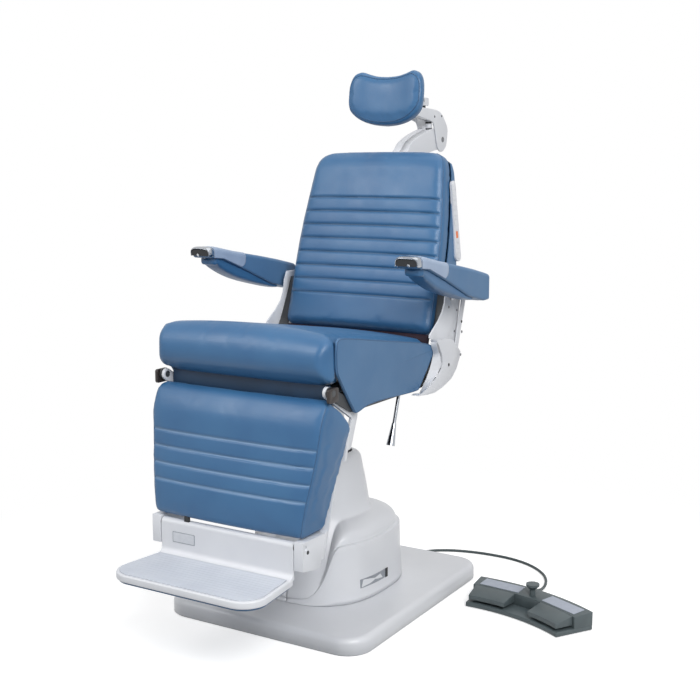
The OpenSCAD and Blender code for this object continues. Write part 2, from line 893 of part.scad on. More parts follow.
// Height of the seat's upholstery above a place behind the roll's axis
function seat_top(y) = seat_z - seat_fall * (y + roll_y) / cushion_l;
cushion_end = cushion_l - roll_y;
hinge = [hinge_y, hinge_z];
knee = [-knee_y, knee_z];
cheek_foot = [cheek_foot_y, cheek_foot_z];

module seat_frame() {
    floor_z = turntable_z + turntable_t;
    pan_top = cushion_t + clear;
    color([0.25, 0.26, 0.27])
        difference() {
            union() {
                both()
                    across(rail_x, rail_t) {
                        link_profile(knee, rail_knee_r, [rail_low_y, rail_low_z], rail_low_r);
                        link_profile([rail_low_y, rail_low_z], rail_low_r, [rail_mid_y, rail_mid_z],
                            rail_mid_r);
                        link_profile([rail_mid_y, rail_mid_z], rail_mid_r, hinge, rail_hinge_r);
                        link_profile([rail_low_y, rail_low_z], rail_low_r, [cross_y, cross_z],
                            rail_low_r);
                        link_profile([rail_mid_y, rail_mid_z], rail_mid_r, cheek_foot, rail_low_r);
                    }
                for (p = [[cross_y, cross_z], [rail_mid_y, rail_mid_z]]) {
                    pin_x(p[0], p[1], cross_r, -rail_x, rail_x);
                }
                pin_x(lever_y, lever_z, lever_rod_r, web_x + web_t / 2, lever_x + lever_eye_w);
                both()
                    across(web_x, web_t)
                        polygon([[-web_front, floor_z], [web_back, floor_z],
                            [web_back, seat_top(web_back) - pan_top - pan_t],
                            [cross_y - rail_low_r / 2, seat_top(cross_y) - pan_top - pan_t],
                            [cross_y - rail_low_r / 2, cross_z - rail_low_r],
                            [rail_low_y - rail_low_r, rail_low_z - cut]]);
                across(-pan_half, 2 * pan_half)
                    polygon([[pan_front, seat_top(pan_front) - pan_top - pan_t],
                        [cushion_end - tail_r, seat_top(cushion_end - tail_r) - pan_top - pan_t],
                        [cushion_end - tail_r, seat_top(cushion_end - tail_r) - pan_top],
                        [pan_front, seat_top(pan_front) - pan_top]]);
            }
            pin_x(knee[0], knee[1], pin_r + running, -seat_half, seat_half);
            pin_x(hinge_y, hinge_z, pin_r + running, -seat_half, seat_half);
        }
}
module seat_cushion() {
    nose = [for (i = [0:nose_steps]) let (a = lerp(nose_start, nose_end, i / nose_steps), s = sin(a))
        pad_ring(seat_half - roll_wide - nose_round * (1 - s), -seat_z + roll_r * (1 - s),
            -seat_z + roll_r * (1 + s), roll_r * s / 2, seat_crown * s, -roll_y - roll_r * cos(a))];
    seat_w = rail_x - layer_gap;
    body = [for (s = under_shares) let (y = s[0] * cushion_l - roll_y, wide = s[0] < 0)
        pad_ring(wide ? wing_x - layer_gap : seat_w, -seat_top(y),
            -seat_top(y) + min(s[1] * cushion_t, 2 * roll_r), roll_r / 2, seat_crown, y)];
    tail = [for (i = [0:3]) let (a = 30 * i, y = cushion_end - tail_r + tail_r * sin(a))
        pad_ring(seat_w - tail_r * (1 - cos(a)) / 3, -seat_top(y) + tail_r * (1 - cos(a)),
            -seat_top(y) + cushion_t, roll_r / 2 * max(cos(a), 0.3), seat_crown, y)];
    color([0.29, 0.45, 0.62])
        rotate([-90, 0, 0])
            skin(concat(nose, body, tail));
}

// Side wing of the seat: an upholstered panel with a lip over the rail
module seat_wing() {
    line = outline(wing_shares, wing_y, wing_z, wing_l, wing_h);
    mid = [wing_y + wing_l * 0.45, wing_z + wing_h * 0.45];
    rings = [for (s = wing_ring_shares) [for (p = line) let (v = mid - p)
        [p[0] + s[1] * wing_edge * 1.6 * v[0] / norm(v), p[1] + s[1] * wing_edge * 1.6 * v[1] / norm(v),
            s[0] < 0 ? wing_x : seat_half - s[0] * wing_edge]]];
    color([0.4, 0.52, 0.68]) {
        rotate([90, 0, 90])
            skin(rings);
        lip_y = [wing_y + wing_edge * 5, wing_y + wing_l * 0.91];
        across(rail_x + clear, wing_x - rail_x - clear)
            polygon([for (e = [[0, 1], [1, 1], [1, 4], [0, 4]])
                [lip_y[e[0]], seat_top(lip_y[e[0]]) - e[1] * wing_lip_h / 4]]);
    }
}

module seat_wing_left() {
    seat_wing();
}

module seat_wing_right() {
    mirror([1, 0, 0])
        seat_wing();
}

module seat_front_panel() {
    top = seat_z - 2 * roll_r - 6 * clear;
    color([0.1, 0.22, 0.33])
        translate([-panel_half, -knee_y + rail_knee_r + panel_t, top - panel_h])
            cube([2 * panel_half, panel_t, panel_h]);
}

module hinge_cheeks() {
    foot = hinge + [link_foot_dy, link_foot_dz];
    color([0.3, 0.31, 0.33])
        both()
            difference() {
                across(cheek_x, cheek_t) {
                    link_profile(cheek_foot, cheek_foot_r, hinge, plate_hinge_r);
                    link_profile(hinge, plate_hinge_r - layer_gap, foot, 1.5 * link_pin_r);
                }
                pin_x(hinge_y, hinge_z, pin_r + running, cheek_x - cut, cover_x + cut);
                pin_x(foot[0], foot[1], link_pin_r + running, cheek_x - cut, cover_x + cut);
                pin_x(cheek_foot[0], cheek_foot[1], link_pin_r + running, cheek_x - cut, cover_x + cut);
            }
}

module hinge_cover() {
    depth = cover_x + cover_skin - backplate_x;
    line = outline(hood_shares, hood_y, hood_z, hood_l, hood_h);
    color("gainsboro")
        difference() {
            across(backplate_x, depth)
                polygon(line);
            translate([0, cover_skin, 1.1 * cover_skin])
                across(backplate_x - cut, depth - cover_skin + cut)
                    polygon(line);
            translate([backplate_x - cut, hinge_y, hood_z - cut])
                cube([depth - cover_skin + cut, hood_l, hood_h / 2]);
        }
}

module hinge_cover_left() {
    hinge_cover();
}

module hinge_cover_right() {
    mirror([1, 0, 0])
        hinge_cover();
}

module pivot_pins() {
    foot = hinge + [link_foot_dy, link_foot_dz];
    color("silver")
        both() {
            pin_x(knee[0], knee[1], pin_r, legarm_x - layer_gap, seat_half);
            pin_x(hinge_y, hinge_z, pin_r, rail_x - layer_gap, cover_x - clear);
            pin_x(cheek_foot[0], cheek_foot[1], link_pin_r, rail_x + rail_t, cover_x - clear);
            pin_x(foot[0], foot[1], link_pin_r, link_x - layer_gap / 2, cover_x - clear);
        }
}

module knee_blocks() {
    color([0.16, 0.13, 0.12])
        both()
            difference() {
                translate([wing_x, knee[0], knee[1] - block_drop])
                    rotate([90, 0, 90])
                        round_plate(block_w, block_h, block_corner, seat_half - wing_x);
                pin_x(knee[0], knee[1], pin_r + running, rail_x, seat_half + cut);
            }
}

module recline_actuator() {
    color([0.2, 0.2, 0.21]) {
        translate([actuator_x, actuator_y, actuator_z])
            rotate([-90, 0, 0])
                cylinder(r = actuator_r, h = actuator_l);
        translate([actuator_x - motor_r - actuator_r / 2, actuator_y, actuator_z])
            rotate([-90, 0, 0])
                cylinder(r = motor_r * 0.7, h = motor_l);
    }
}

// Swivel lock lever under the seat
lever_axis = [lever_x, lever_y, lever_z];
lever_tip = [lever_x, lever_end_y, lever_end_z];
module along_lever(from) {
    v = lever_tip - lever_axis;
    translate(lever_axis)
        rotate([atan2(norm([v[1]]), -v[2]) * -1, 0, 0])
            translate([0, 0, -from])
                children();
}
lever_l = norm(lever_tip - lever_axis);

module lever_rod() {
    color("silver") {
        along_lever(lever_l - lever_grip_l)
            cylinder(r = lever_rod_r, h = lever_l - lever_grip_l - lever_eye_r / 2);
        difference() {
            pin_x(lever_y, lever_z, lever_eye_r, lever_x - lever_eye_w / 2, lever_x + lever_eye_w / 2);
            pin_x(lever_y, lever_z, lever_rod_r + running, lever_x - lever_eye_w,
                lever_x + lever_eye_w);
        }
    }
}

module lever_handle() {
    color("silver")
        along_lever(lever_l)
            cylinder(r1 = lever_grip_r, r2 = lever_grip_top_r, h = lever_grip_l);
}

// Leg rest
leg_axis_y = -knee_y;
function leg_front(z) = leg_axis_y - leg_d * look(leg_front_shares, (z - leg_foot_z) / leg_l);
function leg_back(z) = leg_axis_y - leg_d * look(leg_back_shares, (z - leg_foot_z) / leg_l);
function leg_wide(z) = leg_half * look(leg_half_shares, (z - leg_foot_z) / leg_l);

module legrest_pad() {
    seams = [for (i = [leg_seams - 1:-1:0]) leg_seam_top - i * leg_pitch];
    plain = [for (s = leg_low_shares) leg_foot_z + s * leg_l];
    upper = [for (s = leg_high_shares) leg_foot_z + s * leg_l];
    heights = concat(plain, [for (z = seams) each [z - groove_half, z, z + groove_half]], upper);
    rings = [for (z = heights) let (sewn = len([for (s = seams) if (s == z) s]) > 0)
        pad_ring(leg_wide(z), leg_front(z) + (sewn ? leg_groove : 0), leg_back(z), leg_edge_r,
            leg_crown, z)];
    color([0.29, 0.45, 0.62])
        skin(rings);
}

module legrest_frame() {
    back = [for (z = [leg_foot_z, leg_foot_z + 0.74 * leg_l]) [leg_back(z) + legpanel_gap, z]];
    v = back[1] - back[0];
    up = v / norm(v);
    out = [up[1], -up[0]];
    panel_half_w = leg_half * 0.9;
    edge = outline(bracket_shares, bracket_y, bracket_z, bracket_l, bracket_h);
    high = edge[3];
    low = edge[2] + (high - edge[2]) / 5;
    color("gainsboro")
        difference() {
            union() {
                across(-panel_half_w, 2 * panel_half_w)
                    polygon([back[0], back[1], back[1] + out * legpanel_t, back[0] + out * legpanel_t]);
                both() {
                    across(legarm_x, legarm_t) {
                        link_profile(knee, rail_knee_r, [legarm_end_y, legarm_end_z], legarm_end_r);
                        link_profile([legarm_end_y, legarm_end_z], legarm_end_r,
                            back[1] - up * leg_pitch + out * legarm_end_r * 1.1, legarm_end_r);
                    }
                    across(legarm_x - leg_pitch, legarm_t + leg_pitch)
                        polygon([back[1] - up * leg_pitch * 2 + out * legpanel_t / 2,
                            back[1] - up * leg_pitch / 2 + out * legpanel_t / 2,
                            back[1] - up * leg_pitch / 2 + out * legarm_end_r,
                                back[1] - up * leg_pitch * 2 + out * legarm_end_r]);
                    across(bracket_in, bracket_out - bracket_in)
                        polygon([low + [clear, 0], high + [clear, 0],
                            back[0] + out * clear - up * 2 * clear,
                            back[0] + up * 2 * legpanel_t + out,
                                back[0] + up * 2 * legpanel_t + out * legpanel_t,
                            back[0] + out * legpanel_t, low + [2 * legpanel_t, 0]]);
                }
            }
            pin_x(knee[0], knee[1], pin_r + running, -seat_half, seat_half);
        }
}

module foot_bracket() {
    color("whitesmoke") {
        difference() {
            across(bracket_in, bracket_out - bracket_in)
                polygon(outline(bracket_shares, bracket_y, bracket_z, bracket_l, bracket_h));
            pin_x(foot_axis_y, foot_axis_z, foot_pin_r, bracket_out - wall, bracket_out + cut);
        }
        pin_x(foot_axis_y, foot_axis_z, foot_pin_r, bracket_in - 2 * foot_pin_r, bracket_in + wall);
    }
}

module foot_bracket_left() {
    foot_bracket();
}

module foot_bracket_right() {
    mirror([1, 0, 0])
        foot_bracket();
}

// Foot plate
tread_back = foot_axis_y - barrel_r + riser_t;
tread_top = foot_axis_z - riser_h;

module tread_plan(grow, l) {
    w = tread_half + tread_wide + grow;
    translate([0, tread_back - l - grow])
        difference() {
            union() {
                translate([-w, tread_corner_r])
                    square([2 * w, l - tread_corner_r + grow]);
                translate([tread_corner_r - w, 0])
                    square([2 * (w - tread_corner_r), l]);
                for (x = [-1, 1]) {
                    translate([x * (w - tread_corner_r), tread_corner_r])
                        circle(tread_corner_r);
                }
            }
            for (x = [-1, 1]) {
                translate([x * (tread_half + grow + cut * 2.5) - cut * 2.5, l - 2 * cove_r])
                    square([5 * cut, 4 * cove_r]);
            }
        }
}

module footplate() {
    half = tread_half;
    color("whitesmoke")
        difference() {
            union() {
                pin_x(foot_axis_y, foot_axis_z, barrel_r, -half, half);
                across(-half, 2 * half)
                    polygon([[foot_axis_y - barrel_r, foot_axis_z],
                        [foot_axis_y - barrel_r + riser_t, foot_axis_z],
                        [tread_back, tread_top - tread_t], [tread_back - riser_t - cove_r,
                            tread_top - tread_t],
                        [tread_back - riser_t - cove_r, tread_top],
                            [tread_back - riser_t - cove_r / 3, tread_top + cove_r / 3],
                        [tread_back - riser_t, tread_top + cove_r]]);
                translate([0, 0, tread_top - tread_t])
                    linear_extrude(tread_t)
                        tread_plan(0, tread_l);
            }
            for (s = [-1, 1]) {
                pin_x(foot_axis_y, foot_axis_z, foot_pin_r + running, s * half - 3 * foot_pin_r,
                    s * half + 3 * foot_pin_r);
            }
        }
}

module footplate_mat() {
    w = tread_half - mat_margin;
    l = tread_l - 2 * mat_margin - cove_r;
    ribs = floor((l - 2 * mat_rib_w) / mat_rib_pitch);
    color([0.76, 0.78, 0.82])
        translate([0, tread_back - riser_t - cove_r - mat_t - l, tread_top + clear / 3]) {
            translate([0, l / 2, 0])
                round_plate(2 * w, l, mat_margin, mat_t);
            for (i = [0:ribs]) {
                translate([mat_margin - w, mat_rib_w + i * mat_rib_pitch, mat_t])
                    cube([2 * (w - mat_margin), mat_rib_w, mat_rib_h]);
            }
        }
}

module footplate_pad() {
    color([0.12, 0.22, 0.36])
        translate([0, 0, tread_top - tread_t - sole_t - clear])
            linear_extrude(sole_t)
                tread_plan(-sole_margin, tread_l - 2 * sole_margin);
}

// Back: drawn upright about the recline axis and leaned back
module leaned() {
    translate([0, hinge_y, hinge_z])
        rotate([-back_lean, 0, 0])
            children();
}

module back_cushion() {
    seams = [for (i = [0:back_seams - 1]) back_seam_foot + i * back_pitch];
    lower = [for (s = back_low_shares) back_foot + s * back_l];
    upper = [for (s = back_high_shares) back_foot + s * back_l];
    heights = concat(lower, [for (z = seams) each [z - groove_half, z, z + groove_half]], upper);
    rings = [for (z = heights) let (share = (z - back_foot) / back_l,
        face = look(back_face_shares, share), sewn = len([for (s = seams) if (s == z) s]) > 0)
        pad_ring(back_half * look(back_half_shares, share), -back_face * face
            + (sewn ? back_groove : 0),
            back_t - back_face, min(back_edge_r, (back_t - back_face + back_face * face) * 0.7),
                back_crown * face, z)];
    color([0.29, 0.45, 0.62])
        leaned()
            skin(rings);
}

// Solid that the back shell's outer or inner wall follows
module shell_form(inset, reach) {
    front = back_t - back_face + clear;
    rings = [for (s = shell_ring_shares) let (z = shell_foot + inset + s * (shell_l - 2 * inset),
        share = (z - back_foot) / back_l, d = shell_d * look(shell_back_shares, s))
        pad_ring(back_half * look(back_half_shares, share) - inset, -front - d + inset, -front + reach,
            max(min(shell_edge_r, d / 2) - inset, clear), 0, z)];
    mirror([0, 1, 0])
        skin(rings);
}

module back_shell() {
    color([0.27, 0.41, 0.56])
        leaned()
            difference() {
                shell_form(0, 0);
                shell_form(shell_wall, cut);
                for (x = [-post_x - post_w - clear, post_x - clear]) {
                    translate([x, slide_y - post_t / 2, shell_foot - cut])
                        cube([post_w + 2 * clear, 1.5 * post_t, shell_wall + 2 * cut]);
                }
                translate([-slide_w / 2 - 2 * slide_play, slide_y - slide_t, shell_foot + shell_l / 2])
                    cube([slide_w + 4 * slide_play, 3 * slide_t, shell_l]);
            }
}

module back_frame() {
    line = [for (s = plate_shares) [s[0] * plate_sx, s[1] * plate_sz]];
    color("whitesmoke")
        difference() {
            union() {
                both()
                    translate([0, hinge_y, hinge_z])
                        across(backplate_x, backplate_t) {
                            polygon(line);
                            circle(plate_hinge_r);
                        }
                leaned() {
                    pin_x(cross_back_y, cross_back_z, cross_back_r, -backplate_x - running,
                        backplate_x + running);
                    both()
                        translate([post_x, slide_y - post_t / 4, cross_back_z])
                            cube([post_w, post_t, post_l]);
                    translate([-slide_w / 2 - slide_guide_t, slide_y - slide_t / 2 - slide_guide_t,
                        shell_foot + shell_wall + 1])
                        cube([slide_w + 2 * slide_guide_t, slide_t + 2 * slide_guide_t, slide_guide_l]);
                    for (z = [shell_foot + 2 * post_w, shell_foot + slide_guide_l - post_w]) {
                        translate([-post_x - slide_guide_t, slide_y + slide_t / 2 + slide_play, z])
                            cube([2 * (post_x + slide_guide_t), slide_guide_t, post_w]);
                    }
                }
            }
            pin_x(hinge_y, hinge_z, pin_r + running, -cheek_x, cheek_x);
            translate([0, hinge_y, hinge_z])
                both()
                    pin_x(carrier_dy, carrier_dz, pin_r + running, backplate_x - cut, carrier_x);
            leaned()
                translate([-slide_w / 2 - slide_play, slide_y - slide_t / 2 - slide_play, shell_foot])
                    cube([slide_w + 2 * slide_play, slide_t + 2 * slide_play, shell_l]);
        }
}

// Keypad on the back's left side
module keypad() {
    color([0.8, 0.82, 0.84])
        at_keypad()
            difference() {
                rotate([90, 0, 90])
                    linear_extrude(keypad_t)
                        link_profile([0, 0], keypad_w / 2, [0, keypad_l], keypad_w / 2 - wall);
                for (i = [0:len(key_place_shares) - 1]) {
                    key_form(i, key_play, keypad_t - key_sink, key_sink + cut);
                }
            }
}

// Frame of the keypad: it follows the taper of the back's side
module at_keypad() {
    translate([back_half * keypad_side_share, keypad_y, keypad_foot_z])
        rotate([0, -keypad_taper, 0])
            children();
}

// Outline of a key: the fifth is the narrow stop key
module key_form(i, grow, x, t) {
    w = (i == 4 ? stop_w : key_w) + 2 * grow;
    h = (i == 4 ? stop_h : key_h) + 2 * grow;
    translate([x, 0, key_place_shares[i] * keypad_l])
        rotate([90, 0, 90])
            round_plate(w, h, w * 0.2, t);
}

module key(i) {
    at_keypad()
        key_form(i, 0, keypad_t - key_sink + 1, key_t);
}

module key_back_up() {
    color([0.86, 0.87, 0.88])
        key(0);
}

module key_back_down() {
    color([0.86, 0.87, 0.88])
        key(1);
}

module key_chair_up() {
    color([0.86, 0.87, 0.88])
        key(2);
}

module key_chair_down() {
    color([0.86, 0.87, 0.88])
        key(3);
}

module key_stop() {
    color([0.91, 0.45, 0.23])
        key(4);
}

module key_return() {
    color([0.86, 0.87, 0.88])
        key(5);
}

module key_lamp() {
    color([0.86, 0.87, 0.88])
        key(6);
}

// Arms: carriers hang on the back's plates and are kept level by the links
carrier_axis = [hinge_y + carrier_dy, hinge_z + carrier_dz];
arm_axis = carrier_axis + [link_foot_dy, link_foot_dz];

module arm_carriers() {
    color([0.75, 0.76, 0.78])
        both() {
            across(carrier_x, carrier_t)
                link_profile(carrier_axis, carrier_r, arm_axis, carrier_r * 0.8);
            pin_x(carrier_axis[0], carrier_axis[1], pin_r, backplate_x - layer_gap,
                carrier_x + cut / 8);
            pin_x(arm_axis[0], arm_axis[1], link_pin_r, carrier_x + carrier_t / 2, arm_in + arm_w / 2);
        }
}

module arm_links() {
    foot = hinge + [link_foot_dy, link_foot_dz];
    color([0.86, 0.86, 0.88])
        both()
            difference() {
                across(link_x, link_t)
                    link_profile(foot, link_foot_r, arm_axis, link_top_r);
                pin_x(foot[0], foot[1], link_pin_r + running, link_x - cut, link_x + cut * 2);
                pin_x(arm_axis[0], arm_axis[1], link_pin_r + link_hole_play, link_x - cut,
                    link_x + cut * 2);
            }
}

function arm_top(s) = arm_base_z + arm_t * look(arm_top_shares, s);
function arm_foot(s) = arm_base_z + arm_t * look(arm_foot_shares, s);

module arm_pad() {
    half = arm_w / 2;
    rings = [for (s = arm_ring_shares) let (e = min(1, 0.8 + 6 * min(s, 1 - s)),
        y = arm_front_y + s * arm_l)
        pad_ring(half * e, -arm_top(s), -arm_foot(s), min(arm_edge_r, (arm_top(s) - arm_foot(s)) / 2.2),
            arm_crown, y)];
    color([0.32, 0.46, 0.62])
        difference() {
            translate([arm_in + half, 0, 0])
                rotate([-90, 0, 0])
                    skin(rings);
            pin_x(arm_axis[0], arm_axis[1], link_pin_r + arm_pin_hole_play, arm_in - cut,
                arm_in + half + layer_gap);
        }
}

module arm_pad_left() {
    arm_pad();
}

module arm_pad_right() {
    mirror([1, 0, 0])
        arm_pad();
}

// Thin sleeve over the front of an arm pad's top and outer side
module arm_sleeve() {
    half = arm_w / 2;
    rings = [for (s = sleeve_shares) let (y = arm_front_y + s * arm_l, top = arm_top(s),
        foot = arm_foot(s),
        outer = pad_ring(half + sleeve_t + sleeve_gap, -top - sleeve_t - sleeve_gap,
            -foot - 2 * sleeve_t, arm_edge_r, arm_crown, y),
        inner = pad_ring(half + sleeve_gap, -top - sleeve_gap, -foot - 2 * sleeve_t,
            arm_edge_r - sleeve_t, arm_crown, y),
        n = face_steps + 1 + round_steps)
        concat([outer[len(outer) - round_steps - 1]], [for (i = [0:round_steps - 1]) outer[len(outer)
            - round_steps + i]],
            [for (i = [0:n]) outer[i]], [inner[n]], [for (i = [n - 1:-1:0]) inner[i]],
            [for (i = [round_steps - 1:-1:0]) inner[len(inner) - round_steps + i]],
                [inner[len(inner) - round_steps - 1]])];
    k = len(rings[0]);
    n = len(rings);
    h = k / 2;
    points = [for (r = rings) each r];
    sides = [for (i = [0:n - 2]) for (j = [0:k - 1])
        let (a = i * k + j, b = i * k + (j + 1) % k) each [[a, a + k, b + k], [a, b + k, b]]];
    ends = [for (j = [0:h - 2]) each [[j, j + 1, k - 1 - j], [j + 1, k - 2 - j, k - 1 - j]]];
    caps = [for (f = ends) for (e = [0, 1]) e == 0 ? f : [f[2] + (n - 1) * k, f[1] + (n - 1) * k,
        f[0] + (n - 1) * k]];
    color([0.55, 0.63, 0.74])
        translate([arm_in + half, 0, 0])
            rotate([-90, 0, 0])
                polyhedron(points, concat(sides, caps));
}

module arm_sleeve_left() {
    arm_sleeve();
}

module arm_sleeve_right() {
    mirror([1, 0, 0])
        arm_sleeve();
}

// Lower shell of an arm, a tapering wedge under the pad
module arm_shell() {
    half = arm_w / 2 - armshell_in;
    rings = [for (s = armshell_ring_shares) let (y = armshell_y + s * armshell_l,
        e = min(1, 0.7 + 5 * min(s, 1 - s)),
        top = arm_foot((y - arm_front_y) / arm_l) - armshell_gap,
        foot = arm_base_z + arm_t * look(armshell_foot_shares, s))
        pad_ring(half * e, min(foot, top - armshell_least), top,
            min(arm_edge_r, max(top - foot, armshell_least) / 2.5), armshell_least, y)];
    color([0.26, 0.42, 0.6])
        translate([arm_in + arm_w / 2, 0, 0])
            mirror([0, 1, -1])
                skin(rings);
}

module arm_shell_left() {
    arm_shell();
}

module arm_shell_right() {
    mirror([1, 0, 0])
        arm_shell();
}

// Head rest
module headrest_post() {
    color("whitesmoke")
        difference() {
            union() {
                leaned()
                    translate([-slide_w / 2, slide_y - slide_t / 2, slide_foot])
                        cube([slide_w, slide_t, slide_l]);
                across(-headarm_half, 2 * headarm_half)
                    link_profile([headarm_foot_y, headarm_foot_z], headarm_foot_r, [elbow_y, elbow_z],
                        headarm_r);
                translate([0, bumper_y, elbow_z - bumper_r])
                    cylinder(r = bumper_r, h = bumper_h);
            }
            pin_x(elbow_y, elbow_z, elbow_pin_r + running, -elbow_x, elbow_x);
        }
}

module headrest_elbow() {
    color("whitesmoke") {
        both()
            difference() {
                across(elbow_x, elbow_t) {
                    link_profile([elbow_y, elbow_z], elbow_r, [elbow_top_y, elbow_top_z], elbow_top_r);
                    link_profile([elbow_top_y, elbow_top_z], elbow_top_r, [elbow_bar_y, elbow_bar_z],
                        elbow_bar_r);
                    link_profile([elbow_bar_y, elbow_bar_z], elbow_bar_r, [head_axis_y, head_axis_z],
                        head_axis_r);
                }
                pin_x(head_axis_y, head_axis_z, elbow_pin_r + running, elbow_x - cut,
                    elbow_x + elbow_t + cut);
            }
        pin_x(elbow_y, elbow_z, elbow_pin_r, -elbow_x - running, elbow_x + running);
        pin_x(elbow_top_y, elbow_top_z, elbow_pin_r, -elbow_x - running, elbow_x + running);
    }
    color("white")
        pin_x(knob_y, knob_z, knob_r, elbow_x + running, elbow_x + elbow_t + knob_l);
}

module headrest_plate() {
    rear = head_y + head_t / 2 + clear + 1;
    color("silver") {
        translate([0, head_y, head_z + head_h / 2])
            rotate([-head_lean, 0, 0])
                translate([-headplate_w / 2, head_t / 2 + clear, -headplate_h / 2])
                    cube([headplate_w, headplate_t, headplate_h]);
        both()
            across(headear_x, headear_t)
                link_profile([rear + 2 * headplate_t, head_axis_z], head_axis_r,
                    [head_axis_y, head_axis_z],
                    head_axis_r * 1.1);
        pin_x(head_axis_y, head_axis_z, elbow_pin_r, -elbow_x - elbow_t, elbow_x + elbow_t);
    }
}

module headrest_pad() {
    rings = [for (i = [-head_steps / 2:head_steps / 2]) let (u = i / (head_steps / 2),
        s = sin(90 * u), m = abs(s), top = head_h * (look(head_top_shares, m) - 0.5),
        foot = head_h * (look(head_foot_shares, m) - 0.5),
        t = head_t / 2 * look(head_thick_shares, m), c = -head_hollow * s * s)
        [for (j = [0:head_ring - 1]) let (a = 360 * j / head_ring)
            [c + t * power(cos(a), 2 / head_fullness),
                lerp(foot, top, (1 + power(sin(a), 2 / head_fullness)) / 2), head_half * s]]];
    color([0.26, 0.42, 0.58])
        translate([0, head_y, head_z + head_h / 2])
            rotate([-head_lean, 0, 0])
                rotate([90, 0, 90])
                    skin(rings);
}

base_plate();
base_cover();
shroud_left();
shroud_right();
column_outer();
lift_drive();
mains_inlet();
cable_gland();
foot_control_base();
foot_control_housing();
foot_control_feet();
pedal_left();
pedal_right();
foot_button();
foot_cord();
column_inner();
turntable();
seat_frame();
seat_cushion();
seat_wing_left();
seat_wing_right();
seat_front_panel();
hinge_cheeks();
hinge_cover_left();
hinge_cover_right();
pivot_pins();
knee_blocks();
recline_actuator();
lever_rod();
lever_handle();
legrest_frame();
legrest_pad();
foot_bracket_left();
foot_bracket_right();
footplate();
footplate_mat();
footplate_pad();
back_frame();
back_cushion();
back_shell();
keypad();
key_back_up();
key_back_down();
key_chair_up();
key_chair_down();
key_stop();
key_return();
key_lamp();
arm_carriers();
arm_links();
arm_pad_left();
arm_pad_right();
arm_sleeve_left();
arm_sleeve_right();
arm_shell_left();
arm_shell_right();
headrest_post();
headrest_elbow();
headrest_plate();
headrest_pad();
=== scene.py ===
# %% [markdown]
# # An examination chair, dressed in Blender
# The chair's solids come from a CAD model: every bracket, tube and pin already has its true size
# and place. This lesson puts the looks on it: soft vinyl cushions with sewn channels, moulded
# covers with round edges, a cord on the floor, and a finish for every surface.
# Lengths are metres, +Z is up, the chair faces -Y and the sitter's left is +X.

import json
import math

import bmesh
import bpy
import numpy as np
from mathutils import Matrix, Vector
from mathutils.bvhtree import BVHTree


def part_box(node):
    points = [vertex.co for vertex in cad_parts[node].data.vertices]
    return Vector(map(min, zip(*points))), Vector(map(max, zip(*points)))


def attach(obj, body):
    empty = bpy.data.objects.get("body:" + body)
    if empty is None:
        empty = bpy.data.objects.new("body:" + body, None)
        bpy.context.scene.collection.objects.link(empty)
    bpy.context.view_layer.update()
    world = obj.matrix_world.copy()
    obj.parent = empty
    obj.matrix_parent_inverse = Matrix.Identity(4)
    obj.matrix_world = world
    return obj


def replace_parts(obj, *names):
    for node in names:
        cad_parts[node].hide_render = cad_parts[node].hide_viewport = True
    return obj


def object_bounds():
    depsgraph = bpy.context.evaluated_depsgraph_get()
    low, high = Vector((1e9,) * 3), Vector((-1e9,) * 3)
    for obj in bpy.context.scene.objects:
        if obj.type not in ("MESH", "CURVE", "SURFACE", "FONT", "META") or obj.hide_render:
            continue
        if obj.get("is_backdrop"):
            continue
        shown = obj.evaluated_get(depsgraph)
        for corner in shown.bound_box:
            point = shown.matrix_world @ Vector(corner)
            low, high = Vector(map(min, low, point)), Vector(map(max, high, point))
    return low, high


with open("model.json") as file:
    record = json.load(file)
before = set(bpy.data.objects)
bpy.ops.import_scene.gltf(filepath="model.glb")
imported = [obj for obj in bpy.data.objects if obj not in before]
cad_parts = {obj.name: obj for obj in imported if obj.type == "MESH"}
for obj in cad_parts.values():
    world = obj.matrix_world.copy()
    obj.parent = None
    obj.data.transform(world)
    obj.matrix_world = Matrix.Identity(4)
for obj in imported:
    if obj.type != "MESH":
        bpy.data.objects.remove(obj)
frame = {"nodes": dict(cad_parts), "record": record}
cad_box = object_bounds()

# %% [markdown]
# ## The camera
# The photograph was taken from the chair's left front, at the height of the back's upper edge,
# looking a little down. A lens of about 60 mm keeps the chair's verticals nearly parallel, as in
# a product picture. The camera's numbers come from a fit of the sewn seams' ends, which lie in
# mirror pairs, and of the base plate's corners.

# %% Camera
scene = bpy.context.scene
FOCAL_PIXELS = 1164.8
SENSOR_MM = 36.0
PHOTO_PIXELS = 700
CAMERA_PLACE = (1.6707, -2.6609, 1.2)
CAMERA_DIP, CAMERA_TURN = 9.17, 31.07
FARTHEST = 60
lens = bpy.data.cameras.new("Camera")
lens.sensor_width = SENSOR_MM
lens.lens = FOCAL_PIXELS * SENSOR_MM / PHOTO_PIXELS
lens.clip_end = FARTHEST
camera = bpy.data.objects.new("Camera", lens)
camera.location = CAMERA_PLACE
camera.rotation_euler = (math.radians(90 - CAMERA_DIP), 0, math.radians(CAMERA_TURN))
scene.collection.objects.link(camera)
scene.camera = camera
print("lens: %.1f mm" % lens.lens)

# %% [markdown]
# ## Colour and nodes
# Colours are written as sRGB hex values, as a paint chart gives them, and the shader wants
# linear light, so one function turns the one into the other. One more function adds a node to
# a material with its settings and links. Everything else about a finish is worked out where
# the finish is described.

# %% Helpers for finishes
SMEAR_SHARE = 0.4


def colour(code):
    """Linear RGBA of a hex colour: each share c becomes ((c + 0.055) / 1.055) to the power 2.4."""
    shares = np.array([int(code[i:i + 2], 16) / 255 for i in (1, 3, 5)])
    linear = np.where(shares <= 0.04045, shares / 12.92, ((shares + 0.055) / 1.055) ** 2.4)
    return (*linear, 1.0)


